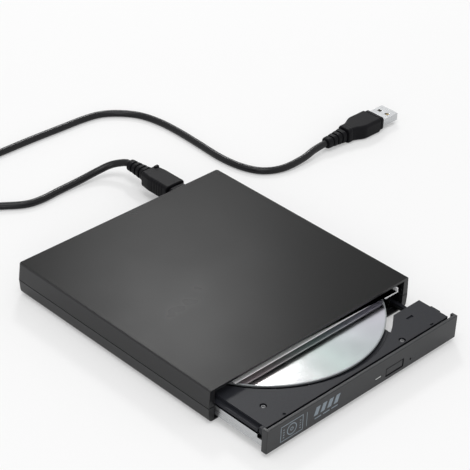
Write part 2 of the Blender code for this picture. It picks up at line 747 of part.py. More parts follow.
def right_rail(carrier):
    """A low steel trough under the tray's right runner."""
    x = flat_rail_x()
    front = BEZEL_DEPTH + 2.7 * MM
    y = tray_y(front, front + RAIL_LENGTH - 6 * MM)
    rail = box("right_rail", x, y, heights(FLAT_RAIL_LOW, FLAT_RAIL_HIGH))
    room_x = (x[0] + FLAT_RAIL_SHEET, x[1] - FLAT_RAIL_SHEET)
    room_y = (y[0] - 1 * MM, y[1] + 1 * MM)
    room_z = heights(FLAT_RAIL_LOW + FLAT_RAIL_SHEET, FLAT_RAIL_HIGH + 1 * MM)
    cut(rail, helper(box, "trough_room", room_x, room_y, room_z))
    return ride(finish(rail, DARK_STEEL), carrier)


# ---- Tray ---------------------------------------------------------------------------------------


def window_outline(inset):
    """The opening in the tray's floor over the traverse, in the traverse's own axes."""
    left, right = -25 * MM + inset, 22 * MM - inset
    return [
        (-18 * MM + inset, left),
        (-18 * MM + inset, right),
        (59 * MM - inset, right),
        (65 * MM - inset, 15 * MM),
        (65 * MM - inset, -16 * MM),
        (58 * MM - inset, left),
    ][::-1]


def tray_solid():
    back = behind_bezel(TRAY_BACK)
    front = behind_bezel(TRAY_FRONT)
    arc_end = arc_depth(BODY_RIGHT, RECESS_RADIUS)
    outline = [(-SKIRT_LEFT, front), (TRAY_RIGHT, front), (TRAY_RIGHT, behind_bezel(WING_BACK))]
    outline += wing_arc(RECESS_RADIUS, arc_end, WING_BACK)
    outline += [(BODY_RIGHT, back), (-SKIRT_LEFT, back)]
    return plate("tray", outline, heights(TRAY_LOW, TRAY_TOP))


def tray_edges(tray):
    """The left ledge and clip, and the runners that the rails hold."""
    inner = -SKIRT_LEFT + 1 * MM
    step = -TRAY_LEFT + LEDGE_WIDTH
    long = tray_y(TRAY_FRONT, TRAY_BACK)
    join(tray, helper(box, "upper_edge", (step, inner), long, heights(LEDGE_LOW, TRAY_TOP)))
    ledge_y = tray_y(TRAY_FRONT + 3.2 * MM, TRAY_BACK)
    join(tray, helper(box, "ledge", (-TRAY_LEFT, inner), ledge_y, heights(LEDGE_LOW, LEDGE_TOP)))
    clip_y = tray_y(TRAY_FRONT, TRAY_FRONT + 2.2 * MM)
    join(tray, helper(box, "clip", (-TRAY_LEFT, inner), clip_y, heights(LEDGE_LOW, TRAY_TOP - 0.1 * MM)))
    tongue_x = (-TRAY_LEFT + RAIL_SHEET + GAP, inner)
    tongue_z = heights(RAIL_LOW + RAIL_SHEET + GAP, RAIL_HIGH - RAIL_SHEET - GAP)
    tongue_y = tray_y(TRAY_FRONT + 4.5 * MM, TRAY_FRONT + 4.5 * MM + RAIL_LENGTH)
    join(tray, helper(box, "left_runner", tongue_x, tongue_y, tongue_z))
    low = FLAT_RAIL_LOW + FLAT_RAIL_SHEET + GAP
    x = flat_rail_x()[0] + FLAT_RAIL_SHEET + GAP
    runner_y = tray_y(TRAY_FRONT + 3 * MM, TRAY_FRONT + 3 * MM + RAIL_LENGTH)
    runner_z = heights(low, low + RUNNER_HEIGHT)
    join(tray, helper(box, "right_runner", (x, x + RUNNER_WIDTH), runner_y, runner_z))
    bump_y = tray_y(TRAY_FRONT + 5.5 * MM, TRAY_FRONT + 11 * MM)
    bump_x = (TRAY_RIGHT - 1 * MM, TRAY_RIGHT + 1 * MM)
    join(tray, helper(box, "side_bump", bump_x, bump_y, heights(LEDGE_TOP, TRAY_TOP - 0.3 * MM)))


def tray_hollows(tray, traverse):
    """What is cut from the tray: the disc's recess, the pockets beneath and the traverse's window."""
    at = (DISC_OFFSET, behind_bezel(DISC_BACK))
    deep = heights(TRAY_FLOOR_TOP, TRAY_TOP + 1 * MM)
    cut(tray, helper(rod, "recess", at, RECESS_RADIUS, deep, steps=96))
    under = heights(TRAY_LOW - 1 * MM, POCKET_TOP)
    inside = TRAY_FRONT + TRAY_WALL
    body_x = (-SKIRT_LEFT + TRAY_WALL, BODY_RIGHT - TRAY_WALL)
    cut(tray, helper(box, "body_pocket", body_x, tray_y(inside, TRAY_BACK - TRAY_WALL), under))
    wall = RECESS_RADIUS + TRAY_WALL
    left = body_x[1] - 2 * MM
    near = arc_depth(left, wall)
    right = flat_rail_x()[0] + FLAT_RAIL_SHEET + GAP
    front, back = tray_y(inside, WING_BACK + 1 * MM)
    wing = [(left, front), (right, front), (right, back)]
    wing += wing_arc(wall, near, WING_BACK + 1 * MM)
    cut(tray, helper(plate, "wing_pocket", wing, under))
    through = heights(POCKET_TOP - 1 * MM, TRAY_FLOOR_TOP + 1 * MM)
    cut(tray, helper(plate, "window", window_outline(0), through, parent=traverse))


def tray_details(tray, traverse):
    """Posts, screw seats and small holes."""
    for at in DAMPERS:
        post = (PLATE_LOW - 0.6 * MM, POCKET_TOP + TRAY_FLOOR / 2)
        join(tray, helper(rod, "damper_post", at, DAMPER_POST, heights(*post), steps=16, parent=traverse))
    x, y = LATCH_PIVOT
    pivot = heights(4.2 * MM, POCKET_TOP + TRAY_FLOOR / 2)
    join(tray, helper(rod, "latch_post", (x, behind_bezel(y)), 0.8 * MM, pivot, steps=16))
    for x, y in PEGS:
        at = (x, behind_bezel(y))
        sunk = heights(TRAY_TOP - 1.4 * MM, TRAY_TOP + 1 * MM)
        cut(tray, helper(rod, "peg_seat", at, PEG_RADIUS + 0.5 * MM, sunk, steps=20))
    dimple = heights(TRAY_TOP - 0.6 * MM, TRAY_TOP + 1 * MM)
    cut(tray, helper(rod, "dimple", (-48.7 * MM, behind_bezel(4.9 * MM)), 0.8 * MM, dimple, steps=16))
    slot_y = tray_y(14.4 * MM, 15.8 * MM)
    cut(tray, helper(box, "slot", (45 * MM, 49.2 * MM), slot_y, dimple))
    cut(tray, helper(box, "small_slot", (49.6 * MM, 51.8 * MM), tray_y(4.2 * MM, 5.1 * MM), dimple))
    skirt = tray_y(TRAY_FRONT - 1 * MM, TRAY_FRONT + TRAY_WALL + 0.2 * MM)
    stem = heights(TRAY_LOW - 1 * MM, BUTTON_Z + 1.8 * MM)
    cut(tray, helper(box, "stem_notch", (BUTTON_X - 2.5 * MM, BUTTON_X + 2.5 * MM), skirt, stem))
    pipe_x = (SLIT_X - SLIT_SIZE[0] / 2 - GAP, SLIT_X + SLIT_SIZE[0] / 2 + GAP)
    cut(tray, helper(box, "pipe_notch", pipe_x, skirt, heights(TRAY_LOW - 1 * MM, SLIT_Z + 1 * MM)))


def tray(carrier, traverse):
    body = tray_solid()
    tray_edges(body)
    tray_hollows(body, traverse)
    tray_details(body, traverse)
    ride(finish(body, TRAY_PLASTIC), carrier)


def tray_shield(carrier):
    right = BODY_RIGHT - 0.5 * MM
    left = -SKIRT_LEFT + 0.5 * MM
    y = tray_y(TRAY_FRONT + 1 * MM, TRAY_BACK - 1 * MM)
    shield = box("tray_shield", (left, right), y, heights(TRAY_LOW - GAP - 0.4 * MM, TRAY_LOW - GAP))
    ride(finish(shield, STEEL), carrier)


def tray_screws(carrier):
    """The two screws in the tray's top that hold the bezel's frame to it."""
    for name, (x, y) in zip(("tray_screw_right", "tray_screw_left"), PEGS):
        low, top = TRAY_TOP - 1.4 * MM + GAP, TRAY_TOP - 0.3 * MM
        profile = [
            (0, up(top)),
            (PEG_RADIUS * 0.6, up(top)),
            (PEG_RADIUS, up(top - 0.4 * MM)),
            (PEG_RADIUS, up(low)),
            (0, up(low)),
        ]
        screw = turned(name, profile, (x, behind_bezel(y), 0), 20)
        ride(finish(screw, SILVER), carrier)


def bezel(carrier):
    x = (-BEZEL_WIDTH / 2, BEZEL_WIDTH / 2)
    z = heights(BEZEL_LOW, BEZEL_LOW + DRIVE_HEIGHT)
    panel = box("bezel", x, tray_y(0, BEZEL_DEPTH), z)
    rounded(panel, 0.35 * MM, 2)
    room_x = (x[0] + BEZEL_END, x[1] - BEZEL_END)
    room_y = tray_y(BEZEL_PLATE, BEZEL_DEPTH + 1 * MM)
    cut(panel, helper(box, "bezel_room", room_x, room_y, heights(BEZEL_LOW + BEZEL_SILL, 20 * MM)))
    through = tray_y(-1 * MM, BEZEL_DEPTH)
    hole_x = around(BUTTON_X, BUTTON_SIZE[0] + 2 * GAP)
    hole_z = height_about(BUTTON_Z, BUTTON_SIZE[1] + 2 * GAP)
    cut(panel, helper(box, "button_hole", hole_x, through, hole_z))
    slit_z = height_about(SLIT_Z, SLIT_SIZE[1])
    cut(panel, helper(box, "lamp_slit", around(SLIT_X, SLIT_SIZE[0]), through, slit_z))
    pin = ((PIN_HOLE_X, up(PIN_HOLE_Z)), PIN_HOLE_RADIUS, through)
    cut(panel, helper(rod, "pin_hole", *pin, axis="Y", steps=16))
    ride(finish(panel, BLACK_PLASTIC), carrier)


def eject_button(carrier):
    """The button's cap, the flange that keeps it in the bezel and the stem that meets the switch."""
    cap_y = tray_y(0.15 * MM, BEZEL_PLATE + 2 * GAP)
    cap = box("eject_button", around(BUTTON_X, BUTTON_SIZE[0]), cap_y, height_about(BUTTON_Z, BUTTON_SIZE[1]))
    flange_y = tray_y(BEZEL_PLATE + GAP, BEZEL_PLATE + GAP + 0.8 * MM)
    wide, high = BUTTON_SIZE[0] + 1.8 * MM, BUTTON_SIZE[1] + 1.8 * MM
    join(cap, helper(box, "flange", around(BUTTON_X, wide), flange_y, height_about(BUTTON_Z, high)))
    stem_y = tray_y(BEZEL_PLATE + GAP, SWITCH_FRONT - BUTTON_PRESS - GAP)
    join(cap, helper(box, "stem", around(BUTTON_X, 3 * MM), stem_y, height_about(BUTTON_Z, 1.8 * MM)))
    ride(finish(cap, BLACK_PLASTIC), carrier)


def tray_board(carrier):
    """The small board under the tray's front, with the switch and the lamp."""
    x = (SLIT_X - 4 * MM, PIN_HOLE_X + 5 * MM)
    y = tray_y(SWITCH_FRONT - 0.3 * MM, SWITCH_FRONT + 4.4 * MM)
    ride(finish(box("tray_board", x, y, heights(*SMALL_BOARD_Z)), BOARD), carrier)
    on_board = SMALL_BOARD_Z[1] + GAP
    switch_y = tray_y(SWITCH_FRONT, SWITCH_FRONT + 3 * MM)
    switch = box("eject_switch", around(BUTTON_X, 4 * MM), switch_y, heights(on_board, BUTTON_Z + 1.2 * MM))
    ride(finish(switch, IVORY), carrier)
    lamp_y = tray_y(SWITCH_FRONT, SWITCH_FRONT + 1 * MM)
    lamp = box("status_lamp", around(SLIT_X, 1.6 * MM), lamp_y, heights(on_board, SLIT_Z + 0.5 * MM))
    ride(finish(lamp, CLEAR), carrier)
    pipe_y = tray_y(0.1 * MM, SWITCH_FRONT - GAP)
    size = (SLIT_SIZE[0] - 0.4 * MM, SLIT_SIZE[1] - 0.4 * MM)
    pipe = box("light_pipe", around(SLIT_X, size[0]), pipe_y, height_about(SLIT_Z, size[1]))
    ride(finish(pipe, CLEAR), carrier)


# ---- Latch --------------------------------------------------------------------------------------


def latch_solenoid(carrier):
    x = (LATCH_PIVOT[0] + 3 * MM, flat_rail_x()[0] - 0.6 * MM)
    y = tray_y(TRAY_FRONT + TRAY_WALL + 2 * MM, TRAY_FRONT + TRAY_WALL + 10 * MM)
    low = FLAT_RAIL_HIGH + 1.5 * MM
    solenoid = box("latch_solenoid", x, y, heights(low, POCKET_TOP - GAP))
    ride(finish(rounded(solenoid, 0.5 * MM, 1), DARK_STEEL), carrier)


def latch_hook(carrier):
    """The hook on the tray, released. It swings to the left to catch the pin as the tray shuts."""
    x, y = LATCH_PIVOT
    shape = [(-0.9, -2), (2.6, -1), (2.6, 1), (0.9, 1.5), (0.9, 8.6), (-2.3, 8.6), (-2.3, 7.1), (-0.9, 7.1)]
    outline = [(x + px * MM, behind_bezel(y) + py * MM) for px, py in shape]
    hook = plate("latch_hook", outline, heights(5.2 * MM, 6.8 * MM))
    join(hook, helper(rod, "hook_eye", (x, behind_bezel(y)), 1.9 * MM, heights(5.2 * MM, 6.8 * MM), steps=20))
    cut(hook, helper(rod, "eye", (x, behind_bezel(y)), 1.05 * MM, heights(4 * MM, 8 * MM), steps=20))
    ride(finish(hook, DARK_STEEL), carrier)


def latch_pin():
    """The fixed pin that the hook catches, where the hook's throat comes to with the tray shut."""
    sine, cosine = math.sin(LATCH_SWING), math.cos(LATCH_SWING)
    x = LATCH_PIVOT[0] + THROAT[0] * cosine - THROAT[1] * sine
    y = LATCH_PIVOT[1] + THROAT[0] * sine + THROAT[1] * cosine - BEZEL_DEPTH
    span = heights(FLOOR_TOP + GAP, 7.2 * MM)
    finish(rod("latch_pin", (x, CASE_FRONT + y), 0.8 * MM, span, steps=16), STEEL)


# ---- Traverse -----------------------------------------------------------------------------------


def traverse_frame(traverse):
    """The base plate with its rod blocks, its screw bearing and three ears for the dampers."""
    outline = [(-17, -24), (59, -24), (66, -17), (66, 17), (60, 21), (-17, 21)]
    flat = heights(PLATE_LOW, PLATE_LOW + PLATE)
    frame = plate("traverse_frame", [(u * MM, v * MM) for u, v in outline], flat, parent=traverse)
    for u, v in DAMPERS:
        join(frame, helper(rod, "ear", (u, v), 4.1 * MM, flat, steps=24, parent=traverse))
    window = (
        (LENS_PARKED + PICKUP_SPAN[0] - 0.6 * MM, ROD_SPAN[1] + 0.1 * MM),
        (-12 * MM, 12 * MM),
    )
    tall = heights(PLATE_LOW - 1 * MM, PLATE_LOW + 2 * MM)
    cut(frame, helper(box, "pickup_window", *window, tall, parent=traverse))
    notch = ((MOTOR_SPAN[0] - 0.5 * MM, MOTOR_SPAN[1] + 0.5 * MM), (-27 * MM, -19 * MM))
    cut(frame, helper(box, "motor_notch", *notch, tall, parent=traverse))
    for u, v in DAMPERS:
        cut(frame, helper(rod, "ear_hole", (u, v), 1.9 * MM, tall, steps=20, parent=traverse))
    for v in (-ROD_SIDE, ROD_SIDE):
        for u in (ROD_SPAN[0] - GAP - 2 * MM, ROD_SPAN[1] + GAP):
            block = ((u, u + 2 * MM - 0.2 * MM), (v - 1.6 * MM, v + 1.6 * MM), heights(*BLOCK_Z))
            join(frame, helper(box, "rod_block", *block, parent=traverse))
    bearing = ((BEARING_START, BEARING_START + 1.5 * MM), (-SCREW_SIDE - 2 * MM, -SCREW_SIDE + 1.4 * MM))
    join(frame, helper(box, "bearing", *bearing, heights(BLOCK_Z[0], SCREW_Z + 1.4 * MM), parent=traverse))
    finish(frame, DIE_CAST)


def rods(traverse):
    for name, side in (("main_rod", -ROD_SIDE), ("sub_rod", ROD_SIDE)):
        bar = rod(name, (side, up(ROD_Z)), ROD_RADIUS, ROD_SPAN, axis="X", steps=16, parent=traverse)
        finish(bar, SILVER)


def dampers(traverse):
    low, high = PLATE_LOW, PLATE_LOW + PLATE
    for number, (u, v) in enumerate(DAMPERS, 1):
        bore = DAMPER_POST + GAP
        profile = [
            (bore, up(high + 1.0 * MM)),
            (2.6 * MM, up(high + 1.0 * MM)),
            (2.6 * MM, up(high + 0.2 * MM)),
            (1.65 * MM, up(high + 0.2 * MM)),
            (1.65 * MM, up(low - 0.2 * MM)),
            (2.6 * MM, up(low - 0.2 * MM)),
            (2.6 * MM, up(low - 0.9 * MM)),
            (bore, up(low - 0.9 * MM)),
        ]
        grommet = turned(f"damper_{number}", profile, (u, v, 0), 16, closed=True, parent=traverse)
        finish(grommet, RUBBER)


def traverse_cover(traverse):
    """The thin plate in the tray's window, open at the turntable and along the lens's path."""
    flat = heights(COVER_LOW, COVER_LOW + COVER)
    cover = plate("traverse_cover", window_outline(0.4 * MM), flat, parent=traverse)
    tall = heights(COVER_LOW - 1 * MM, COVER_LOW + 1 * MM)
    cut(cover, helper(rod, "turntable_hole", (0, 0), 13.3 * MM, tall, steps=48, parent=traverse))
    slot = ((8 * MM, LENS_PARKED + PICKUP_TRAVEL + 5.2 * MM), (-7 * MM, 7 * MM))
    cut(cover, helper(box, "lens_slot", *slot, tall, parent=traverse))
    finish(cover, DARK_STEEL)


def spindle_motor(traverse):
    """The fixed half of the motor: a base disc with a bearing tube on it."""
    profile = [
        (1.1 * MM, up(MOTOR_BASE + 3.1 * MM)),
        (2.6 * MM, up(MOTOR_BASE + 3.1 * MM)),
        (2.6 * MM, up(MOTOR_BASE + 2.6 * MM)),
        (9 * MM, up(MOTOR_BASE + 2.6 * MM)),
        (9 * MM, up(MOTOR_BASE + 0.8 * MM)),
        (12.3 * MM, up(MOTOR_BASE + 0.8 * MM)),
        (12.3 * MM, up(MOTOR_BASE)),
        (1.1 * MM, up(MOTOR_BASE)),
    ]
    finish(turned("spindle_motor", profile, (0, 0, 0), 28, closed=True, parent=traverse), STEEL)


def turntable(spindle):
    """The rotor: a cup over the motor, with the disc's seat on top and the shaft inside."""
    inner = COVER_LOW - 0.6 * MM
    profile = [
        (0, up(TABLE_TOP)),
        (12.3 * MM, up(TABLE_TOP)),
        (12.3 * MM, up(TABLE_TOP - 0.5 * MM)),
        (11 * MM, up(COVER_LOW)),
        (11 * MM, up(MOTOR_BASE + 1.1 * MM)),
        (9.5 * MM, up(MOTOR_BASE + 1.1 * MM)),
        (9.5 * MM, up(inner + 0.1 * MM)),
        (0.8 * MM, up(inner + 0.1 * MM)),
        (0.8 * MM, up(MOTOR_BASE)),
        (0, up(MOTOR_BASE)),
    ]
    finish(turned("turntable", profile, (0, 0, 0), 32, parent=spindle), SILVER)


def disc_hub(spindle):
    """The hub that the disc clicks on, with three catches over the disc's inner edge."""
    radius = DISC_HOLE - GAP
    profile = [
        (0, up(DISC_TOP + 0.9 * MM)),
        (radius - 1.4 * MM, up(DISC_TOP + 0.9 * MM)),
        (radius, up(DISC_TOP + 0.3 * MM)),
        (radius, up(DISC_LOW)),
        (0, up(DISC_LOW)),
    ]
    hub = turned("disc_hub", profile, (0, 0, 0), 36, parent=spindle)
    for number in range(3):
        angle = math.tau * number / 3
        catch = helper(
            box,
            "catch",
            (-1 * MM, 1.6 * MM),
            (-1.1 * MM, 1.1 * MM),
            heights(DISC_TOP + 0.3 * MM, DISC_TOP + 0.8 * MM),
            parent=spindle,
        )
        catch.location.x = (radius - 1 * MM) * math.cos(angle)
        catch.location.y = (radius - 1 * MM) * math.sin(angle)
        catch.rotation_euler.z = angle
        join(hub, catch)
    finish(hub, BLACK_PLASTIC)


def disc(spindle):
    profile = [
        (DISC_HOLE, up(DISC_TOP)),
        (DISC_RADIUS, up(DISC_TOP)),
        (DISC_RADIUS, up(DISC_LOW)),
        (DISC_HOLE, up(DISC_LOW)),
    ]
    finish(turned("disc", profile, (0, 0, 0), 96, closed=True, parent=spindle), MIRROR)


def pickup(slider):
    """The pickup's body on its two rods, with a pocket for the lens and a finger at the screw."""
    span = PICKUP_SPAN
    body = box("pickup", span, (-11 * MM, 11 * MM), heights(3.7 * MM, 8.7 * MM), parent=slider)
    reach = ROD_SIDE + 2.4 * MM
    arms = ((span[0] + 1.5 * MM, span[1] - 1.5 * MM), (-reach, reach), heights(*ARM_Z))
    join(body, helper(box, "arms", *arms, parent=slider))
    finger = ((-6 * MM, -2 * MM), (-SCREW_SIDE + SCREW_RADIUS + GAP, -ROD_SIDE), heights(5.6 * MM, 7.4 * MM))
    join(body, helper(box, "finger", *finger, parent=slider))
    for v in (-ROD_SIDE, ROD_SIDE):
        hole = ((v, up(ROD_Z)), ROD_RADIUS + 0.25 * MM, (span[0] - 1 * MM, span[1] + 1 * MM))
        cut(body, helper(rod, "rod_hole", *hole, axis="X", steps=16, parent=slider))
    pocket = ((-5.2 * MM, 5.0 * MM), (-5.7 * MM, 5.7 * MM), heights(6.4 * MM, 10 * MM))
    cut(body, helper(box, "lens_pocket", *pocket, parent=slider))
    finish(body, DIE_CAST)


def lens_holder(focus):
    size = (around(0, 8.8 * MM), around(0, 10 * MM), heights(6.9 * MM, 8.9 * MM))
    holder = box("lens_holder", *size, parent=focus)
    seat = heights(7.9 * MM, 10 * MM)
    cut(holder, helper(rod, "lens_seat", (0, 0), 2.3 * MM, seat, steps=20, parent=focus))
    finish(holder, CHIP)
    profile = [
        (0, up(9.8 * MM)),
        (1.2 * MM, up(9.6 * MM)),
        (2.0 * MM, up(9.1 * MM)),
        (2.0 * MM, up(8.2 * MM)),
        (0, up(8.2 * MM)),
    ]
    finish(turned("lens", profile, (0, 0, 0), 20, parent=focus), CLEAR)


def sled_drive(traverse):
    """The small motor that turns the lead screw."""
    at = (-SCREW_SIDE, up(SCREW_Z))
    motor = rod("sled_motor", at, MOTOR_RADIUS, MOTOR_SPAN, axis="X", steps=20, parent=traverse)
    finish(motor, STEEL)
    span = (MOTOR_SPAN[1] + GAP, BEARING_START - GAP)
    screw = rod("lead_screw", at, SCREW_RADIUS, span, axis="X", steps=16, parent=traverse)
    finish(screw, SILVER)


# ---- Lead ---------------------------------------------------------------------------------------

def lead_ends():
    """Where the lead leaves each relief, a hair from it, and the way it leaves."""
    first = Vector((PLUG_X, PLUG_BACK + RELIEF_LENGTH + 2 * GAP, PLUG_Z))
    last = HOST_TIP - Vector((GAP, 0, 0))
    return (first, Vector((0, LEAD_RADIUS, 0))), (last, Vector((-LEAD_RADIUS, 0, 0)))


def smooth_route(knots, count):
    """Points at even distances along a smooth curve through the knots."""
    knots = [2 * knots[0] - knots[1]] + knots + [2 * knots[-1] - knots[-2]]
    fine = []
    for a, b, c, d in zip(knots, knots[1:], knots[2:], knots[3:]):
        for i in range(12):
            t = i / 12
            bend = (2 * a - 5 * b + 4 * c - d) * t**2 + (3 * b - a - 3 * c + d) * t**3
            fine.append(0.5 * (2 * b + (c - a) * t + bend))
    fine.append(knots[-2])
    lengths = [0.0]
    for a, b in zip(fine, fine[1:]):
        lengths.append(lengths[-1] + (b - a).length)
    route, at = [], 0
    for i in range(count + 1):
        want = lengths[-1] * i / count
        while at < len(lengths) - 2 and lengths[at + 1] < want:
            at += 1
        share = (want - lengths[at]) / (lengths[at + 1] - lengths[at])
        route.append(fine[at].lerp(fine[at + 1], min(share, 1.0)))
    return route


def usb_lead():
    curve = bpy.data.curves.new("usb_lead", "CURVE")
    curve.dimensions = "3D"
    curve.bevel_depth = LEAD_RADIUS
    curve.bevel_resolution = 2
    curve.use_fill_caps = True
    spline = curve.splines.new("POLY")
    (first, out), (last, back) = lead_ends()
    knots = [first + out] + [Vector(p) * MM for p in LEAD_ROUTE] + [last + back]
    route = [first] + smooth_route(knots, LEAD_STEPS) + [last]
    spline.points.add(len(route) - 1)
    for point, place in zip(spline.points, route):
        point.co = (*place, 1)
    lead = link(bpy.data.objects.new("usb_lead", curve))
    finish(lead, RUBBER)


def relief_profile(wide, narrow):
    """A ribbed sleeve that narrows away from the plug, as (radius, distance from the plug)."""
    ribs = 4
    groove = 0.7 * MM
    pitch = RELIEF_LENGTH / (ribs + 0.5)
    profile = [(0, RELIEF_LENGTH)]
    for i in range(ribs):
        far = RELIEF_LENGTH - pitch * i
        radius = narrow + (wide - narrow) * i / (ribs - 1)
        profile += [(radius, far), (radius, far - pitch * 0.6), (radius - groove, far - pitch * 0.6)]
        profile += [(radius - groove, far - pitch)]
    return profile + [(wide, pitch / 2), (wide, 0), (0, 0)]


def tapered_outline(near, far, tail, wide):
    """A plug's plan across x: wide from near on, narrowing over its last part to the tail at far."""
    turn = far - (far - near) * 0.3
    half, end = wide / 2, tail / 2
    return [(-half, near), (half, near), (half, turn), (end, far), (-end, far), (-half, turn)]


def drive_plug():
    """The moulded plug at the drive: nose, groove, body with its ridge, shell and relief."""
    start = PLUG_FRONT + PLUG_NOSE[1] + PLUG_GROOVE
    outline = [(PLUG_X + x, y) for x, y in tapered_outline(start, PLUG_BACK, PLUG_TAIL_WIDTH, PLUG_BODY[0])]
    z = around(PLUG_Z, PLUG_BODY[2])
    body = rounded(plate("drive_plug", outline, z), 0.8 * MM, 2)
    nose_y = (PLUG_FRONT, PLUG_FRONT + PLUG_NOSE[1])
    nose = helper(box, "nose", around(PLUG_X, PLUG_NOSE[0]), nose_y, around(PLUG_Z, PLUG_NOSE[2]))
    slim = 1.6 * MM
    neck_y = (PLUG_FRONT + 1 * MM, start + 2 * MM)
    neck_x = around(PLUG_X, PLUG_NOSE[0] - slim)
    neck = helper(box, "neck", neck_x, neck_y, around(PLUG_Z, PLUG_NOSE[2] - slim))
    join(body, neck, rounded(nose, 0.6 * MM, 1))
    right = PLUG_X + PLUG_TAIL_WIDTH / 2
    ridge_y = (PLUG_BACK - 2.6 * MM, PLUG_BACK - 0.9 * MM)
    ridge = helper(box, "ridge", (right - 3 * MM, right - 0.2 * MM), ridge_y, (PLUG_Z, z[1] + 0.8 * MM))
    finish(join(body, ridge), RUBBER)
    inside = 2 * SOCKET_WALL + 2 * GAP
    wide, high = SOCKET[0] - inside, SOCKET[2] - inside
    shell_y = (PLUG_FRONT - GAP - 6.6 * MM, PLUG_FRONT - GAP)
    shell = box("drive_plug_shell", around(PLUG_X, wide), shell_y, around(PLUG_Z, high))
    wall = 0.3 * MM
    room_y = (shell_y[0] - 1 * MM, shell_y[1] - wall)
    room = helper(box, "shell_room", around(PLUG_X, wide - 2 * wall), room_y, around(PLUG_Z, high - 2 * wall))
    finish(cut(shell, room), SILVER)
    at = (PLUG_X, PLUG_BACK + GAP, PLUG_Z)
    finish(turned("drive_plug_relief", relief_profile(3.8 * MM, 3.0 * MM), at, 18, axis="Y"), RUBBER)


def host_plug():
    """The flat plug for the computer, lying on the floor, with its open steel shell."""
    length, width, height = HOST_BODY
    start = HOST_TIP.x + RELIEF_LENGTH + GAP + GAP
    end = start + length
    half, tail = width / 2, HOST_TAIL_WIDTH / 2
    shape = [(end, -half), (start + 0.5 * length, -half), (start + 0.16 * length, -tail), (start, -tail)]
    shape += [(x, -y) for x, y in reversed(shape)]
    z = around(HOST_TIP.z, height)
    body = plate("host_plug", [(x, HOST_TIP.y + y) for x, y in shape][::-1], z)
    rounded(body, 1.2 * MM, 2)
    rim_x = (end + 0.8 * MM, end + 3.2 * MM)
    inset = 1.4 * MM
    rim_y = around(HOST_TIP.y, width - inset)
    rim = rounded(helper(box, "rim", rim_x, rim_y, around(HOST_TIP.z, height - inset)), 0.8 * MM, 2)
    core_y = around(HOST_TIP.y, width - 2 * inset)
    core_x = (end - 2 * MM, rim_x[1] - 0.5 * MM)
    join(body, helper(box, "core", core_x, core_y, around(HOST_TIP.z, height - 2 * inset)), rim)
    finish(body, RUBBER)
    host_shell(rim_x[1] + GAP)
    at = (HOST_TIP.x + RELIEF_LENGTH + GAP, HOST_TIP.y, HOST_TIP.z)
    profile = [(r, -x) for r, x in relief_profile(4.0 * MM, 3.0 * MM)]
    finish(turned("host_plug_relief", profile[::-1], at, 18, axis="X"), RUBBER)


def host_shell(start):
    """The open steel shell that goes into the computer, with its two windows, and the tongue in it."""
    wall = 0.3 * MM
    shell_y = around(HOST_TIP.y, 12 * MM)
    shell_z = around(HOST_TIP.z, 4.5 * MM)
    shell = box("host_plug_shell", (start, start + 12 * MM), shell_y, shell_z)
    room_x = (start + wall, start + 13 * MM)
    room_z = (shell_z[0] + wall, shell_z[1] - wall)
    cut(shell, helper(box, "host_room", room_x, (shell_y[0] + wall, shell_y[1] - wall), room_z))
    for side in (-1, 1):
        y = around(HOST_TIP.y + side * 2.75 * MM, 2.5 * MM)
        top = (shell_z[1] - 0.5 * MM, shell_z[1] + 1 * MM)
        cut(shell, helper(box, "latch_window", (start + 5.2 * MM, start + 7.4 * MM), y, top))
    finish(shell, SILVER)
    edge = wall + GAP
    tongue_y = (shell_y[0] + edge, shell_y[1] - edge)
    tongue_z = (shell_z[0] + edge, shell_z[0] + edge + 1.7 * MM)
    finish(box("host_plug_tongue", (start + edge, start + 11.4 * MM), tongue_y, tongue_z), IVORY)


# ---- Assembly -----------------------------------------------------------------------------------


def main():
    clear_scene()
    spindle_at = Vector((DISC_OFFSET, behind_bezel(DISC_BACK), 0))
    left = empty("left_rail_slide", (-INNER_SIDE, 0, up(RAIL_LOW)))
    right = empty("right_rail_slide", (INNER_SIDE, 0, up(FLAT_RAIL_LOW)))
    carrier = empty("tray_slide", (0, behind_bezel(0), up(TRAY_LOW)))
    ride(carrier, left)
    traverse = empty("traverse", spindle_at, TRAVERSE_ANGLE)
    ride(traverse, carrier)
    spindle = hold(empty("spindle", (0, 0, 0)), traverse)
    slider = hold(empty("pickup_slide", (LENS_PARKED, 0, 0)), traverse)
    focus = hold(empty("lens_focus", (0, 0, 0)), slider)
    press = empty("button_press", (BUTTON_X, behind_bezel(0), up(BUTTON_Z)))
    ride(press, carrier)
    swing = empty("latch_swing", (LATCH_PIVOT[0], behind_bezel(LATCH_PIVOT[1]), up(6 * MM)))
    ride(swing, carrier)

    bottom_cover()
    top_cover()
    feet()
    case_screws()
    adapter()
    drive_chassis()
    drive_lid()
    rail_guides()
    drive_board()
    drive_connector()
    latch_pin()
    left_rail(left)
    right_rail(right)
    tray(carrier, traverse)
    tray_shield(carrier)
    tray_screws(carrier)
    bezel(carrier)
    eject_button(press)
    tray_board(carrier)
    latch_solenoid(carrier)
    latch_hook(swing)
    traverse_frame(traverse)
    rods(traverse)
    dampers(traverse)
    traverse_cover(traverse)
    spindle_motor(traverse)
    turntable(spindle)
    disc_hub(spindle)
    disc(spindle)
    pickup(slider)
    lens_holder(focus)
    sled_drive(traverse)
    usb_lead()
    drive_plug()
    host_plug()


main()
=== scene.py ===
"""Looks for the external optical drive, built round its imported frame."""

import json
import math

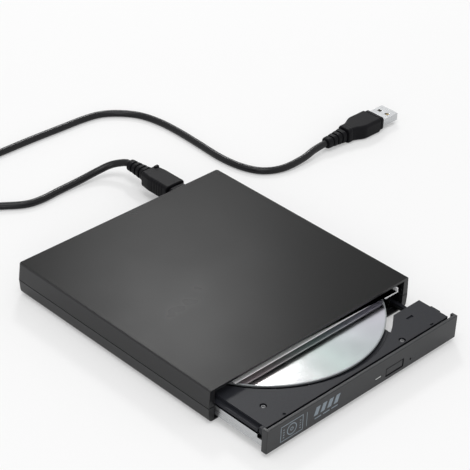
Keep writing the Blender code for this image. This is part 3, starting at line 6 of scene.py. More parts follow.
import bmesh
import bpy
from mathutils import Euler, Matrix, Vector

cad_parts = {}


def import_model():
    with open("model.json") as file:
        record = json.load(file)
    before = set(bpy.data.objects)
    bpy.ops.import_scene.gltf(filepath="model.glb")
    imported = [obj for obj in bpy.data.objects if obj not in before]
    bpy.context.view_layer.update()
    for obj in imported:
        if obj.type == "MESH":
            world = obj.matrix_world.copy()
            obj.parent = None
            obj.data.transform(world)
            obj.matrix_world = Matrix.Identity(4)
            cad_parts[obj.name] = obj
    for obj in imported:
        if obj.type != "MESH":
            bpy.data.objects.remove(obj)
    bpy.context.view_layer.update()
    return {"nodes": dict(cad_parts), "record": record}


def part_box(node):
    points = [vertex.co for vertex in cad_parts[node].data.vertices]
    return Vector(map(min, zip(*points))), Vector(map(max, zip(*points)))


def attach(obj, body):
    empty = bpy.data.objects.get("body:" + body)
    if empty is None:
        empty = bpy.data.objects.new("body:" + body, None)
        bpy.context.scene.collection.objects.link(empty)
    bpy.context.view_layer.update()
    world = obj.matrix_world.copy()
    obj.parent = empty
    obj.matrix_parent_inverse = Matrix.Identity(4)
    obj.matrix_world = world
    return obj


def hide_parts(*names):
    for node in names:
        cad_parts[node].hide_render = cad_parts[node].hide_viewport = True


MM = 0.001

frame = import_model()

BODY_OF = {n: body for body, nodes in frame["record"]["behaviour"]["bodies"].items() for n in nodes}
SLOT_OF = {part["node"]: part["material_slot"] for part in frame["record"]["subparts"]}

# ---- Camera -------------------------------------------------------------------------------------

camera = bpy.data.objects.new("camera", bpy.data.cameras.new("camera"))
bpy.context.scene.collection.objects.link(camera)
# Fitted to the photo, with the depth of the case held at 133 mm.
camera.location = (-0.483496, -0.463954, 0.486536)
camera.rotation_euler = Euler((0.98898, -0.039071, -0.776877))
camera.data.sensor_width = 36
camera.data.lens = 131.23
camera.data.clip_start = 0.01
bpy.context.scene.camera = camera

# ---- Materials ----------------------------------------------------------------------------------


class Shader:
    """A Principled material with procedural colour, roughness and relief in the piece's own space."""

    def __init__(self, name, colour, roughness, metallic=0.0):
        self.material = bpy.data.materials.new(name)
        self.material.use_nodes = True
        self.material.diffuse_color = (*colour, 1)
        self.tree = self.material.node_tree
        self.face = self.tree.nodes["Principled BSDF"]
        self.face.inputs["Base Color"].default_value = (*colour, 1)
        self.face.inputs["Roughness"].default_value = roughness
        self.face.inputs["Metallic"].default_value = metallic
        self.place = self.add("ShaderNodeTexCoord").outputs["Object"]

    def add(self, kind, **settings):
        node = self.tree.nodes.new(kind)
        for key, value in settings.items():
            setattr(node, key, value)
        return node

    def join(self, source, node, socket):
        self.tree.links.new(source, node.inputs[socket])
        return node

    def stretched(self, scale):
        """The piece's coordinates, scaled differently along each axis."""
        node = self.join(self.place, self.add("ShaderNodeMapping"), "Vector")
        node.inputs["Scale"].default_value = scale
        return node.outputs["Vector"]

    def noise(self, per_metre, detail=3.0, place=None):
        node = self.join(place or self.place, self.add("ShaderNodeTexNoise"), "Vector")
        node.inputs["Scale"].default_value = per_metre
        node.inputs["Detail"].default_value = detail
        return node.outputs["Fac"]

    def spread(self, value, low, high, start=0.3, end=0.7):
        """Value from start to end becomes low to high."""
        node = self.join(value, self.add("ShaderNodeMapRange"), "Value")
        node.inputs["From Min"].default_value = start
        node.inputs["From Max"].default_value = end
        node.inputs["To Min"].default_value = low
        node.inputs["To Max"].default_value = high
        return node.outputs["Result"]

    def ramp(self, value, stops):
        node = self.join(value, self.add("ShaderNodeValToRGB"), "Fac")
        elements = node.color_ramp.elements
        while len(elements) < len(stops):
            elements.new(0.5)
        for element, (position, colour) in zip(elements, stops):
            element.position = position
            element.color = (*colour, 1)
        return node.outputs["Color"]

    def mix(self, share, first, second):
        """A colour between two, each a socket or a tuple."""
        node = self.add("ShaderNodeMix", data_type="RGBA")
        self.tree.links.new(share, node.inputs["Factor"])
        for socket, value in ((node.inputs[6], first), (node.inputs[7], second)):
            if isinstance(value, tuple):
                socket.default_value = (*value, 1)
            else:
                self.tree.links.new(value, socket)
        return node.outputs[2]

    def colour(self, source):
        self.join(source, self.face, "Base Color")

    def roughness(self, source):
        self.join(source, self.face, "Roughness")

    def relief(self, height, depth, strength=1.0, under=None):
        """Adds relief of this depth in metres, over another relief if there is one."""
        node = self.join(height, self.add("ShaderNodeBump"), "Height")
        node.inputs["Strength"].default_value = strength
        node.inputs["Distance"].default_value = depth
        if under is not None:
            self.tree.links.new(under, node.inputs["Normal"])
        self.join(node.outputs["Normal"], self.face, "Normal")
        return node.outputs["Normal"]


def shade(colour, factor):
    return tuple(min(1.0, c * factor) for c in colour)


def moulded(name, colour, roughness, grain=0.004 * MM, per_metre=3400, sheen=0.5):
    """Spark-textured plastic: a fine grain, faint mottling and uneven gloss from handling."""
    look = Shader(name, colour, roughness)
    look.colour(look.mix(look.noise(1300, 4), shade(colour, 0.75), shade(colour, 1.25)))
    look.roughness(look.spread(look.noise(26, 3), roughness - 0.015, roughness + 0.02))
    look.relief(look.noise(per_metre, 2), grain, 0.4)
    look.face.inputs["Specular IOR Level"].default_value = sheen
    return look.material


def rolled(name, colour, roughness, along, scratch=0.006 * MM, metallic=1.0):
    """Sheet steel with a fine rolling grain along one axis and faint smudges."""
    look = Shader(name, colour, roughness, metallic)
    scale = [3200.0, 3200.0, 3200.0]
    scale["XYZ".index(along)] = 40.0
    grain = look.noise(1.0, 3, look.stretched(scale))
    look.colour(look.mix(look.noise(70, 4), shade(colour, 0.9), shade(colour, 1.06)))
    look.roughness(look.spread(grain, roughness - 0.07, roughness + 0.1))
    look.relief(grain, scratch, 0.5)
    return look.material


def cast_metal(name, colour, roughness):
    look = Shader(name, colour, roughness, 1.0)
    look.colour(look.mix(look.noise(420, 5), shade(colour, 0.8), shade(colour, 1.15)))
    look.roughness(look.spread(look.noise(900, 3), roughness - 0.1, roughness + 0.1))
    look.relief(look.noise(1500, 3), 0.03 * MM, 0.6)
    return look.material


def soft_rubber(name, colour, roughness):
    look = Shader(name, colour, roughness)
    look.colour(look.mix(look.noise(160, 4), shade(colour, 0.75), shade(colour, 1.5)))
    look.roughness(look.spread(look.noise(300, 3), roughness - 0.08, roughness + 0.08))
    look.relief(look.noise(1800, 2), 0.02 * MM, 0.5)
    return look.material


def circuit_board(name):
    """Green solder mask over copper: lighter tracks, pads and a fine weave."""
    mask, track, pad = (0.012, 0.1, 0.045), (0.03, 0.2, 0.09), (0.72, 0.6, 0.32)
    look = Shader(name, mask, 0.35)
    lines = look.join(look.place, look.add("ShaderNodeTexBrick"), "Vector")
    lines.inputs["Scale"].default_value = 420
    lines.inputs["Mortar Size"].default_value = 0.03
    lines.inputs["Color1"].default_value = (0, 0, 0, 1)
    lines.inputs["Color2"].default_value = (0, 0, 0, 1)
    lines.inputs["Mortar"].default_value = (1, 1, 1, 1)
    cells = look.join(look.place, look.add("ShaderNodeTexVoronoi"), "Vector")
    cells.inputs["Scale"].default_value = 260
    dots = look.spread(cells.outputs["Distance"], 1.0, 0.0, 0.08, 0.11)
    tracks = look.mix(lines.outputs["Color"], mask, track)
    look.colour(look.mix(dots, tracks, pad))
    look.roughness(look.spread(look.noise(600, 2), 0.28, 0.42))
    look.relief(lines.outputs["Color"], 0.03 * MM, 0.7)
    return look.material


def clear_plastic(name, colour, cloud):
    look = Shader(name, colour, 0.18)
    look.face.inputs["Transmission Weight"].default_value = cloud
    look.face.inputs["IOR"].default_value = 1.49
    look.colour(look.mix(look.noise(500, 3), shade(colour, 0.94), colour))
    look.roughness(look.spread(look.noise(900, 2), 0.12, 0.26))
    return look.material


def disc_face():
    """Mirror layer between a clear hub ring and a clear rim, with spiral grooves and a weak rainbow painted
    into its colour by angle round the centre, standing in for light that the grooves split.
    """
    silver = (0.46, 0.47, 0.48)
    look = Shader("disc_mirror_layer", silver, 0.15, 1.0)
    flat = look.join(look.place, look.add("ShaderNodeVectorMath", operation="MULTIPLY"), 0)
    flat.inputs[1].default_value = (1, 1, 0)
    radius = look.join(flat.outputs[0], look.add("ShaderNodeVectorMath", operation="LENGTH"), 0)
    radius = radius.outputs["Value"]
    turn = look.join(look.place, look.add("ShaderNodeTexGradient", gradient_type="RADIAL"), "Vector")
    # Painted light: rainbow tints by angle round the disc's centre, put into the mirror's colour.
    painted_rainbow_tints = [
        (0.0, (0.45, 0.47, 0.48)),
        (0.12, (0.50, 0.46, 0.47)),
        (0.24, (0.42, 0.48, 0.47)),
        (0.38, (0.47, 0.46, 0.51)),
        (0.5, (0.43, 0.47, 0.48)),
        (0.62, (0.51, 0.47, 0.46)),
        (0.74, (0.44, 0.49, 0.52)),
        (0.88, (0.49, 0.44, 0.49)),
        (1.0, (0.45, 0.47, 0.48)),
    ]
    rainbow = look.ramp(turn.outputs["Fac"], painted_rainbow_tints)
    rim = look.spread(radius, 0.0, 1.0, 59.2 * MM, 59.4 * MM)
    hub = look.spread(radius, 1.0, 0.0, 21.8 * MM, 22.2 * MM)
    clear = look.add("ShaderNodeMath", operation="MAXIMUM")
    look.join(rim, clear, 0)
    look.join(hub, clear, 1)
    clear = clear.outputs[0]
    look.colour(look.mix(clear, rainbow, (0.3, 0.32, 0.33)))
    look.join(look.spread(clear, 1.0, 0.25, 0.0, 1.0), look.face, "Metallic")
    rings = look.join(radius, look.add("ShaderNodeMath", operation="MULTIPLY"), 0)
    rings.inputs[1].default_value = math.tau / (0.37 * MM)
    wave = look.join(rings.outputs[0], look.add("ShaderNodeMath", operation="SINE"), 0)
    look.relief(wave.outputs[0], 0.0006 * MM, 0.4)
    look.roughness(look.spread(look.noise(60, 4), 0.13, 0.19))
    return look.material


# Painted shade: the near-black for the case's top face alone, darker than the black plastic of its sides.
TOP_SHADE_BLACK = (0.0065, 0.0067, 0.0066)
LOOKS = {
    "black_plastic": moulded("satin_black_plastic", (0.014, 0.0142, 0.0152), 0.3, sheen=0.33),
    "tray_plastic": moulded("satin_tray_plastic", (0.0165, 0.0175, 0.0215), 0.4, sheen=0.14),
    "steel": rolled("galvanised_steel", (0.56, 0.57, 0.58), 0.34, "X"),
    # A very dark steel for the pieces in the dark_steel slot, such as the drive's chassis.
    "dark_steel": rolled("very_dark_steel", (0.035, 0.036, 0.038), 0.5, "Y"),
    "silver": rolled("bright_steel", (0.54, 0.55, 0.56), 0.26, "Y"),
    "die_cast": cast_metal("die_cast_alloy", (0.42, 0.43, 0.44), 0.45),
    "rubber": soft_rubber("black_rubber", (0.018, 0.018, 0.018), 0.75),
    "lead_plastic": moulded("lead_pvc", (0.005, 0.005, 0.0062), 0.27, 0.003 * MM, 1800, 0.25),
    "board": circuit_board("circuit_board"),
    "chip": moulded("chip_epoxy", (0.02, 0.02, 0.022), 0.5, 0.02 * MM, 3000),
    "ivory": moulded("ivory_nylon", (0.6, 0.57, 0.48), 0.45),
    "disc_mirror": disc_face(),
    "clear": clear_plastic("clear_acrylic", (0.86, 0.88, 0.88), 0.75),
}
DULL_SCREW = rolled("dull_screw_steel", (0.16, 0.16, 0.165), 0.45, "Z")
# Painted light: a lighter, barely metallic copy of the steel, so the lid's strip inside the case's shaded
# mouth reads lit.
LID_PAINTED_LIGHT_LOOK = rolled("lid_sheet", (0.86, 0.86, 0.87), 0.5, "X", metallic=0.2)
PLUG_LOOK = moulded("plug_pvc", (0.006, 0.006, 0.0072), 0.42, 0.01 * MM, 2400, 0.08)
# Painted shade: a darker, less shiny copy of the case's black plastic, for the top face only, so the top
# reads darker than the sides.
SHADED_TOP_LOOK = moulded("painted_shade_black_top", TOP_SHADE_BLACK, 0.285, sheen=0.07)
BEZEL_LOOK = moulded("bezel_plastic", (0.02, 0.021, 0.023), 0.36, sheen=0.38)
PRINT_LOOK = moulded("grey_print", (0.2, 0.24, 0.275), 0.5, 0.002 * MM)
GILT_LOOK = rolled("gilt_contacts", (0.75, 0.55, 0.25), 0.3, "X")
MILKY_LOOK = clear_plastic("milky_light_pipe", (0.7, 0.72, 0.7), 0.2)

# ---- Making pieces ------------------------------------------------------------------------------


def link(obj):
    bpy.context.scene.collection.objects.link(obj)
    return obj


def made(name, bm):
    mesh = bpy.data.meshes.new(name)
    bmesh.ops.recalc_face_normals(bm, faces=bm.faces)
    bm.to_mesh(mesh)
    bm.free()
    return link(bpy.data.objects.new(name, mesh))


def box(name, x, y, z):
    bm = bmesh.new()
    bmesh.ops.create_cube(bm, size=1)
    size = [b - a for a, b in (x, y, z)]
    middle = Vector([(a + b) / 2 for a, b in (x, y, z)])
    for vert in bm.verts:
        vert.co = Vector([c * s for c, s in zip(vert.co, size)]) + middle
    return made(name, bm)


def rod(name, at, radius, span, steps=48):
    """An upright cylinder."""
    bm = bmesh.new()
    bmesh.ops.create_cone(
        bm, cap_ends=True, segments=steps, radius1=radius, radius2=radius, depth=span[1] - span[0]
    )
    bmesh.ops.translate(bm, verts=bm.verts, vec=(at[0], at[1], (span[0] + span[1]) / 2))
    return made(name, bm)


def plate(name, outline, z):
    bm = bmesh.new()
    low = [bm.verts.new((x, y, z[0])) for x, y in outline]
    high = [bm.verts.new((x, y, z[1])) for x, y in outline]
    bm.faces.new(low[::-1])
    bm.faces.new(high)
    for i in range(len(outline)):
        j = (i + 1) % len(outline)
        bm.faces.new((low[i], low[j], high[j], high[i]))
    return made(name, bm)


def turned(name, profile, steps=96, closed=False):
    """A solid of revolution about Z, from (radius, height) pairs."""
    bm = bmesh.new()
    rings = []
    for radius, height in profile:
        if radius == 0:
            rings.append([bm.verts.new((0, 0, height))] * steps)
            continue
        angles = [math.tau * i / steps for i in range(steps)]
        rings.append([bm.verts.new((radius * math.cos(a), radius * math.sin(a), height)) for a in angles])
    pairs = list(zip(rings, rings[1:])) + ([(rings[-1], rings[0])] if closed else [])
    for upper, lower in pairs:
        for i in range(steps):
            j = (i + 1) % steps
            corners = [upper[i], upper[j], lower[j], lower[i]]
            face = [v for k, v in enumerate(corners) if v not in corners[:k]]
            if len(face) > 2:
                bm.faces.new(face)
    return made(name, bm)


def squircle(width, height, corner, steps=6):
    """A rounded rectangle's points, anticlockwise."""
    corner = min(corner, width / 2 - 1e-6, height / 2 - 1e-6)
    points = []
    for number, (sx, sy) in enumerate(((1, 1), (-1, 1), (-1, -1), (1, -1))):
        for i in range(steps + 1):
            angle = math.pi / 2 * (number + i / steps)
            points.append(
                (
                    sx * (width / 2 - corner) + corner * math.cos(angle),
                    sy * (height / 2 - corner) + corner * math.sin(angle),
                )
            )
    return points


def lofted(name, sections, place):
    """A closed skin through rounded rectangles: each is (distance, width, height, corner).
    place turns (distance, across, up) into a point."""
    bm = bmesh.new()
    rings = []
    for distance, width, height, corner in sections:
        rings.append([bm.verts.new(place(distance, a, u)) for a, u in squircle(width, height, corner)])
    for first, second in zip(rings, rings[1:]):
        for i in range(len(first)):
            j = (i + 1) % len(first)
            bm.faces.new((first[i], first[j], second[j], second[i]))
    bm.faces.new(rings[0][::-1])
    bm.faces.new(rings[-1])
    return made(name, bm)


def boolean(obj, other, operation, solver="EXACT"):
    modifier = obj.modifiers.new(operation.lower(), "BOOLEAN")
    modifier.operation = operation
    modifier.solver = solver
    modifier.object = other
    return obj


def cut(obj, *others):
    for other in others:
        boolean(obj, other, "DIFFERENCE")
    return settled(obj, others)


def add(obj, *others):
    for other in others:
        boolean(obj, other, "UNION")
    return settled(obj, others)


def settled(obj, spent=()):
    """Makes the modifiers' result the mesh, and removes the shapes that it was cut or joined with."""
    bpy.context.view_layer.update()
    graph = bpy.context.evaluated_depsgraph_get()
    mesh = bpy.data.meshes.new_from_object(obj.evaluated_get(graph))
    obj.modifiers.clear()
    obj.data = mesh
    for other in spent:
        bpy.data.objects.remove(other, do_unlink=True)
    return obj


def tidied(obj):
    """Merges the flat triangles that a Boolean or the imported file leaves, so that edges bevel well."""
    bm = bmesh.new()
    bm.from_mesh(obj.data)
    bmesh.ops.remove_doubles(bm, verts=bm.verts, dist=0.002 * MM)
    bmesh.ops.dissolve_limit(bm, angle_limit=math.radians(0.8), verts=bm.verts, edges=bm.edges)
    bm.to_mesh(obj.data)
    bm.free()
    return obj


def softened(obj, width, segments=2, angle=38, smooth=42):
    """Rounds the sharp edges and shades the piece smooth, its large faces flat."""
    tidied(obj)
    if width:
        bevel = obj.modifiers.new("edges", "BEVEL")
        bevel.width = width
        bevel.segments = segments
        bevel.limit_method = "ANGLE"
        bevel.angle_limit = math.radians(angle)
        bevel.use_clamp_overlap = True
        settled(obj)
    obj.data.shade_smooth()
    obj.data.set_sharp_from_angle(angle=math.radians(smooth))
    weights = obj.modifiers.new("weights", "WEIGHTED_NORMAL")
    weights.keep_sharp = True
    return settled(obj)


def copy_of(node, name):
    """A new piece with the shape of a CAD node."""
    mesh = frame["nodes"][node].data.copy()
    mesh.materials.clear()
    obj = link(bpy.data.objects.new(name, mesh))
    bm = bmesh.new()
    bm.from_mesh(mesh)
    bmesh.ops.remove_doubles(bm, verts=bm.verts, dist=0.002 * MM)
    bm.to_mesh(mesh)
    bm.free()
    return obj


def dress(obj, node, look=None):
    """Gives a piece its look and its body, in the CAD node's place."""
    obj.data.materials.clear()
    obj.data.materials.append(look or LOOKS[SLOT_OF[node]])
    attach(obj, BODY_OF[node])
    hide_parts(node)
    return obj


def extra(obj, node, look=None):
    """Gives a small piece its look and lets it ride with the CAD node's body."""
    obj.data.materials.clear()
    obj.data.materials.append(look or LOOKS[SLOT_OF[node]])
    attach(obj, BODY_OF[node])
    return obj


def middle(node):
    low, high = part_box(node)
    return (low + high) / 2


# ---- Lead and plugs -----------------------------------------------------------------------------

LEAD_RADIUS = 2.0 * MM
LEAD_ROUTE = (
    (42.9, 132.4, 8.7),
    (38.8, 136.8, 6.9),
    (31.0, 139.6, 4.4),
    (20.0, 140.6, 2.7),
    (6.0, 140.7, 2.05),
    (-6.4, 140.0, 2.05),
    (-16.0, 141.9, 2.05),
    (-26.8, 149.1, 2.05),
    (-40.0, 158.6, 2.05),
    (-57.0, 163.5, 2.05),
    (-74.0, 169.0, 2.05),
    (-83.0, 181.0, 2.05),
    (-76.0, 193.0, 2.05),
    (-58.0, 198.0, 2.05),
    (-36.0, 196.0, 2.05),
    (-14.0, 193.0, 2.05),
    (7.0, 192.4, 2.05),
    (28.0, 192.3, 2.05),
    (50.4, 191.6, 2.05),
    (66.0, 191.0, 2.05),
    (77.0, 188.8, 2.05),
    (86.0, 182.6, 2.05),
    (93.0, 173.4, 2.05),
    (96.4, 161.0, 2.05),
    (97.2, 146.0, 2.05),
    (96.4, 127.6, 2.05),
    (95.4, 109.0, 2.05),
    (97.4, 94.4, 2.05),
    (103.0, 84.0, 2.05),
    (113.5, 78.6, 2.1),
    (127.5, 77.6, 2.9),
    (138.0, 78.6, 4.1),
)


def lead_knots():
    """The route between the two reliefs, which it leaves straight."""
    relief_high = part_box("drive_plug_relief")[1]
    near = middle("drive_plug_relief")
    far = middle("host_plug_relief")
    gap = 0.3 * MM
    first = Vector((near.x, relief_high.y + gap, near.z))
    last = Vector((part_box("host_plug_relief")[0].x - gap, far.y, far.z))
    out, back = Vector((0, LEAD_RADIUS, 0)), Vector((-LEAD_RADIUS, 0, 0))
    return first, [first + out] + [Vector(p) * MM for p in LEAD_ROUTE] + [last + back], last


def smooth_route(knots, steps):
    """A smooth curve through the knots, with this many points between each two."""
    knots = [2 * knots[0] - knots[1]] + knots + [2 * knots[-1] - knots[-2]]
    fine = []
    for a, b, c, d in zip(knots, knots[1:], knots[2:], knots[3:]):
        for i in range(steps):
            t = i / steps
            bend = (2 * a - 5 * b + 4 * c - d) * t**2 + (3 * b - a - 3 * c + d) * t**3
            fine.append(0.5 * (2 * b + (c - a) * t + bend))
    return fine + [knots[-2]]


def usb_lead():
    first, knots, last = lead_knots()
    route = [first] + smooth_route(knots, 5) + [last]
    curve = bpy.data.curves.new("usb_lead_tube", "CURVE")
    curve.dimensions = "3D"
    curve.bevel_depth = LEAD_RADIUS
    curve.bevel_resolution = 5
    curve.use_fill_caps = True
    spline = curve.splines.new("POLY")
    spline.points.add(len(route) - 1)
    for point, place in zip(spline.points, route):
        point.co = (*place, 1)
    spline.use_smooth = True
    return dress(link(bpy.data.objects.new("usb_lead_tube", curve)), "usb_lead"), first


def ribbed(length, wide, narrow, tall, low, ribs):
    """Sections of a bend relief from the plug out: ribs with slots between them, getting smaller."""
    sections = [(0, wide, tall, 2.4 * MM)]
    pitch = length / (ribs + 0.35)
    slot, depth, edge = 0.36 * pitch, 1.3 * MM, 0.12 * MM
    for i in range(ribs):
        share = (i + 0.5) / ribs
        w, h = wide + (narrow - wide) * share, tall + (low - tall) * share
        start = pitch * (i + 0.35)
        sections += [
            (start - slot - edge, w, h, 2.2 * MM),
            (start - slot, w - edge, h - edge, 2.2 * MM),
            (start - slot + edge, w - depth, h - depth, 2.0 * MM),
            (start - edge, w - depth, h - depth, 2.0 * MM),
            (start, w - edge, h - edge, 2.2 * MM),
            (start + edge, w, h, 2.2 * MM),
        ]
    sections = sorted(s for s in sections if 0 <= s[0] < length - 0.9 * MM)
    end = (narrow, low)
    sections += [
        (length - 0.8 * MM, end[0], end[1], 2.2 * MM),
        (length - 0.3 * MM, end[0] - 0.3 * MM, end[1] - 0.3 * MM, 2.1 * MM),
        (length, end[0] - 1.0 * MM, end[1] - 1.0 * MM, 1.9 * MM),
    ]
    return sections


def drive_plug():
    """The moulded plug at the drive, with its nose, groove, shoulders, grips, ridge and bend relief."""
    low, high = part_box("drive_plug")
    centre = middle("drive_plug_relief")
    ridge = 0.8 * MM
    width, height = high.x - low.x, high.z - low.z - ridge
    nose, groove, total = 8.4 * MM, 9.3 * MM, high.y - low.y
    turn, tail = total - 0.3 * (total - groove), 11.2 * MM
    sections = [
        (0, 9.6 * MM, 6.6 * MM, 1.2 * MM),
        (0.4 * MM, 10.4 * MM, 7.4 * MM, 1.5 * MM),
        (nose - 0.2 * MM, 10.4 * MM, 7.4 * MM, 1.5 * MM),
        (nose, 10.1 * MM, 7.1 * MM, 1.4 * MM),
        (nose + 0.05 * MM, 8.8 * MM, 5.8 * MM, 1.2 * MM),
        (groove - 0.05 * MM, 8.8 * MM, 5.8 * MM, 1.2 * MM),
        (groove, width - 1.2 * MM, height - 1.2 * MM, 1.4 * MM),
        (groove + 0.25 * MM, width - 0.35 * MM, height - 0.35 * MM, 1.7 * MM),
        (groove + 0.7 * MM, width, height, 1.8 * MM),
    ]
    for i in range(1, 6):
        at = groove + 1.4 * MM + i * 1.9 * MM
        for offset, inset in ((-0.32, 0), (-0.16, 0.45), (0.16, 0.45), (0.32, 0)):
            sections.append((at + offset * MM, width - inset * MM, height, 1.8 * MM))
    sections += [
        (turn - 0.6 * MM, width, height, 1.8 * MM),
        (turn + 0.6 * MM, width - 0.25 * MM, height, 1.8 * MM),
        (total - 0.9 * MM, tail + 0.3 * MM, height, 1.8 * MM),
        (total - 0.35 * MM, tail - 0.3 * MM, height - 0.3 * MM, 1.7 * MM),
        (total, tail - 1.4 * MM, height - 1.4 * MM, 1.4 * MM),
    ]

    def place(distance, across, up):
        return Vector((centre.x + across, low.y + distance, centre.z + up))

    body = lofted("drive_plug_moulding", sections, place)
    dress(softened(body, 0, smooth=60), "drive_plug", PLUG_LOOK)
    right = centre.x + tail / 2
    tab = [(0, 2.4, 1.4, 0.3), (0.25, 2.8, 2.0, 0.5), (1.45, 2.8, 2.0, 0.5), (1.7, 2.4, 1.6, 0.3)]

    def tab_place(distance, across, up):
        return Vector((right - 1.6 * MM + across, high.y - 2.6 * MM + distance, high.z - 1.0 * MM + up))

    ridge_piece = lofted("drive_plug_ridge", [tuple(v * MM for v in s) for s in tab], tab_place)
    extra(softened(ridge_piece, 0), "drive_plug", PLUG_LOOK)
    start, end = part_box("drive_plug_relief")
    size = end - start

    def relief_place(distance, across, up):
        return Vector((centre.x + across, start.y + distance, centre.z + up))

    ribs = ribbed(size.y, 7.8 * MM, 6.0 * MM, 7.2 * MM, 5.8 * MM, 4)
    relief = lofted("drive_plug_bend_relief", ribs, relief_place)
    dress(softened(relief, 0, smooth=50), "drive_plug_relief", PLUG_LOOK)
    shell = softened(copy_of("drive_plug_shell", "drive_plug_steel"), 0.06 * MM)
    dress(shell, "drive_plug_shell")
    return [body, ridge_piece, relief, shell]


def host_plug():
    """The moulded plug for the computer: a wedge with a rim, its bend relief and its steel shell."""
    low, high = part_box("host_plug")
    centre = middle("host_plug_relief")
    width, height = high.y - low.y, high.z - low.z
    tail, total = 9 * MM, high.x - low.x
    body_end = total - 3.2 * MM
    sections = [
        (0, tail - 1.6 * MM, height - 1.6 * MM, 1.6 * MM),
        (0.35 * MM, tail - 0.4 * MM, height - 0.4 * MM, 2.0 * MM),
        (0.9 * MM, tail, height, 2.1 * MM),
        (3.2 * MM, tail, height, 2.1 * MM),
        (3.5 * MM, tail - 0.5 * MM, height - 0.5 * MM, 2.0 * MM),
        (3.9 * MM, tail - 0.1 * MM, height - 0.4 * MM, 2.0 * MM),
    ]
    for i in range(1, 8):
        share = i / 8
        ease = share * share * (3 - 2 * share)
        across = tail + (width - tail) * ease
        sections.append((3.9 * MM + share * 8.6 * MM, across, height - 0.3 * MM * (1 - ease), 1.9 * MM))
    sections += [
        (12.5 * MM, width, height, 1.8 * MM),
        (body_end - 0.7 * MM, width, height, 1.8 * MM),
        (body_end - 0.2 * MM, width - 0.5 * MM, height - 0.5 * MM, 1.6 * MM),
        (body_end, width - 1.2 * MM, height - 1.2 * MM, 1.4 * MM),
        (body_end + 0.05 * MM, width - 2.6 * MM, height - 2.6 * MM, 1.2 * MM),
        (body_end + 0.75 * MM, width - 2.6 * MM, height - 2.6 * MM, 1.2 * MM),
        (body_end + 0.8 * MM, width - 1.8 * MM, height - 1.8 * MM, 1.4 * MM),
        (body_end + 1.1 * MM, width - 1.2 * MM, height - 1.2 * MM, 1.6 * MM),
        (total - 0.5 * MM, width - 1.2 * MM, height - 1.2 * MM, 1.6 * MM),
        (total, width - 2.2 * MM, height - 2.2 * MM, 1.4 * MM),
    ]

    def place(distance, across, up):
        return Vector((low.x + distance, centre.y + across, centre.z + up))

    body = lofted("host_plug_moulding", sections, place)
    dress(softened(body, 0, smooth=60), "host_plug", PLUG_LOOK)
    start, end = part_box("host_plug_relief")

    def relief_place(distance, across, up):
        return Vector((end.x - distance, centre.y + across, centre.z + up))

    ribs = ribbed(end.x - start.x, 8.0 * MM, 6.2 * MM, 7.6 * MM, 6.0 * MM, 4)
    relief = lofted("host_plug_bend_relief", ribs, relief_place)
    dress(softened(relief, 0, smooth=50), "host_plug_relief", PLUG_LOOK)
    shell = softened(copy_of("host_plug_shell", "host_plug_steel"), 0.08 * MM)
    dress(shell, "host_plug_shell")
    tongue = softened(copy_of("host_plug_tongue", "host_plug_tongue_moulding"), 0.15 * MM)
    dress(tongue, "host_plug_tongue")
    contacts = [tongue_contact(i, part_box("host_plug_tongue")) for i in range(4)]
    return [body, relief, shell, tongue] + contacts


def tongue_contact(number, corners):
    """One of the four gilt contacts on the tongue."""
    low, high = corners
    pitch = (high.y - low.y) / 5
    y = low.y + pitch * (number + 1)
    strip = box(
        f"host_plug_contact_{number + 1}",
        (low.x + 2 * MM, high.x - 0.6 * MM),
        (y - 0.55 * MM, y + 0.55 * MM),
        (high.z - 0.05 * MM, high.z + 0.12 * MM),
    )
    return extra(softened(strip, 0.04 * MM), "host_plug_shell", GILT_LOOK)


def lead_and_plugs():
    lead, exit_at = usb_lead()
    plugs = drive_plug() + host_plug()


# ---- Case ---------------------------------------------------------------------------------------

DRAFT = 0.5 * MM
CORNER = 1.5 * MM
SHUT_GAP = 0.05 * MM  # between the case's front and the shut bezel, which touch in the CAD


def case_half(name, low, high, half, narrow_top, edge):
    """Half of the case, drafted away from the seam, square at the front and rounded elsewhere."""
    bm = bmesh.new()
    bmesh.ops.create_cube(bm, size=1)
    for vert in bm.verts:
        inset = 0 if (vert.co.z > 0) != narrow_top else DRAFT
        x = math.copysign(half - inset, vert.co.x)
        y = high.y - inset if vert.co.y > 0 else low.y + SHUT_GAP
        vert.co = (x, y, high.z if vert.co.z > 0 else low.z)

    def ends(side):
        return [vert.co for vert in side.verts]

    def stands(side):
        return abs(ends(side)[0].z - ends(side)[1].z) > CORNER

    upright = [s for s in bm.edges if all(c.y > 0 for c in ends(s)) and stands(s)]
    bmesh.ops.bevel(bm, geom=upright, offset=CORNER, segments=8, profile=0.5, affect="EDGES")
    rim_z = high.z if narrow_top else low.z
    rim = [
        s
        for s in bm.edges
        if all(abs(c.z - rim_z) < 0.3 * MM for c in ends(s)) and any(c.y > low.y + DRAFT for c in ends(s))
    ]
    bmesh.ops.bevel(bm, geom=rim, offset=edge, segments=6, profile=0.5, affect="EDGES")
    return made(name, bm)


def case_cavity(low, high, z):
    side = high.x - DRAFT - 2 * MM
    room = box("room", (-side, side), (low.y + 2 * MM, high.y - DRAFT - 2 * MM), z)
    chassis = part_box("drive_chassis")
    mouth_side = chassis[1].x - 0.6 * MM
    mouth = box("mouth", (-mouth_side, mouth_side), (low.y - 1 * MM, low.y + 3 * MM), z)
    return room, mouth


def socket_window(back):
    """The recess for the plug's nose in the back wall, and the slot to the socket within it."""
    centre = middle("usb_socket")
    nose = (10.4 * MM + 0.6 * MM, 7.4 * MM + 0.6 * MM)
    slot = (7.9 * MM + 0.6 * MM, 4.1 * MM + 0.6 * MM)
    shapes = []
    for (width, height), depth in ((nose, 1.2 * MM), (slot, 4 * MM)):
        x = (centre.x - width / 2, centre.x + width / 2)
        z = (centre.z - height / 2, centre.z + height / 2)
        shapes.append(box("window", x, (back - DRAFT - depth, back + 1 * MM), z))
    return shapes


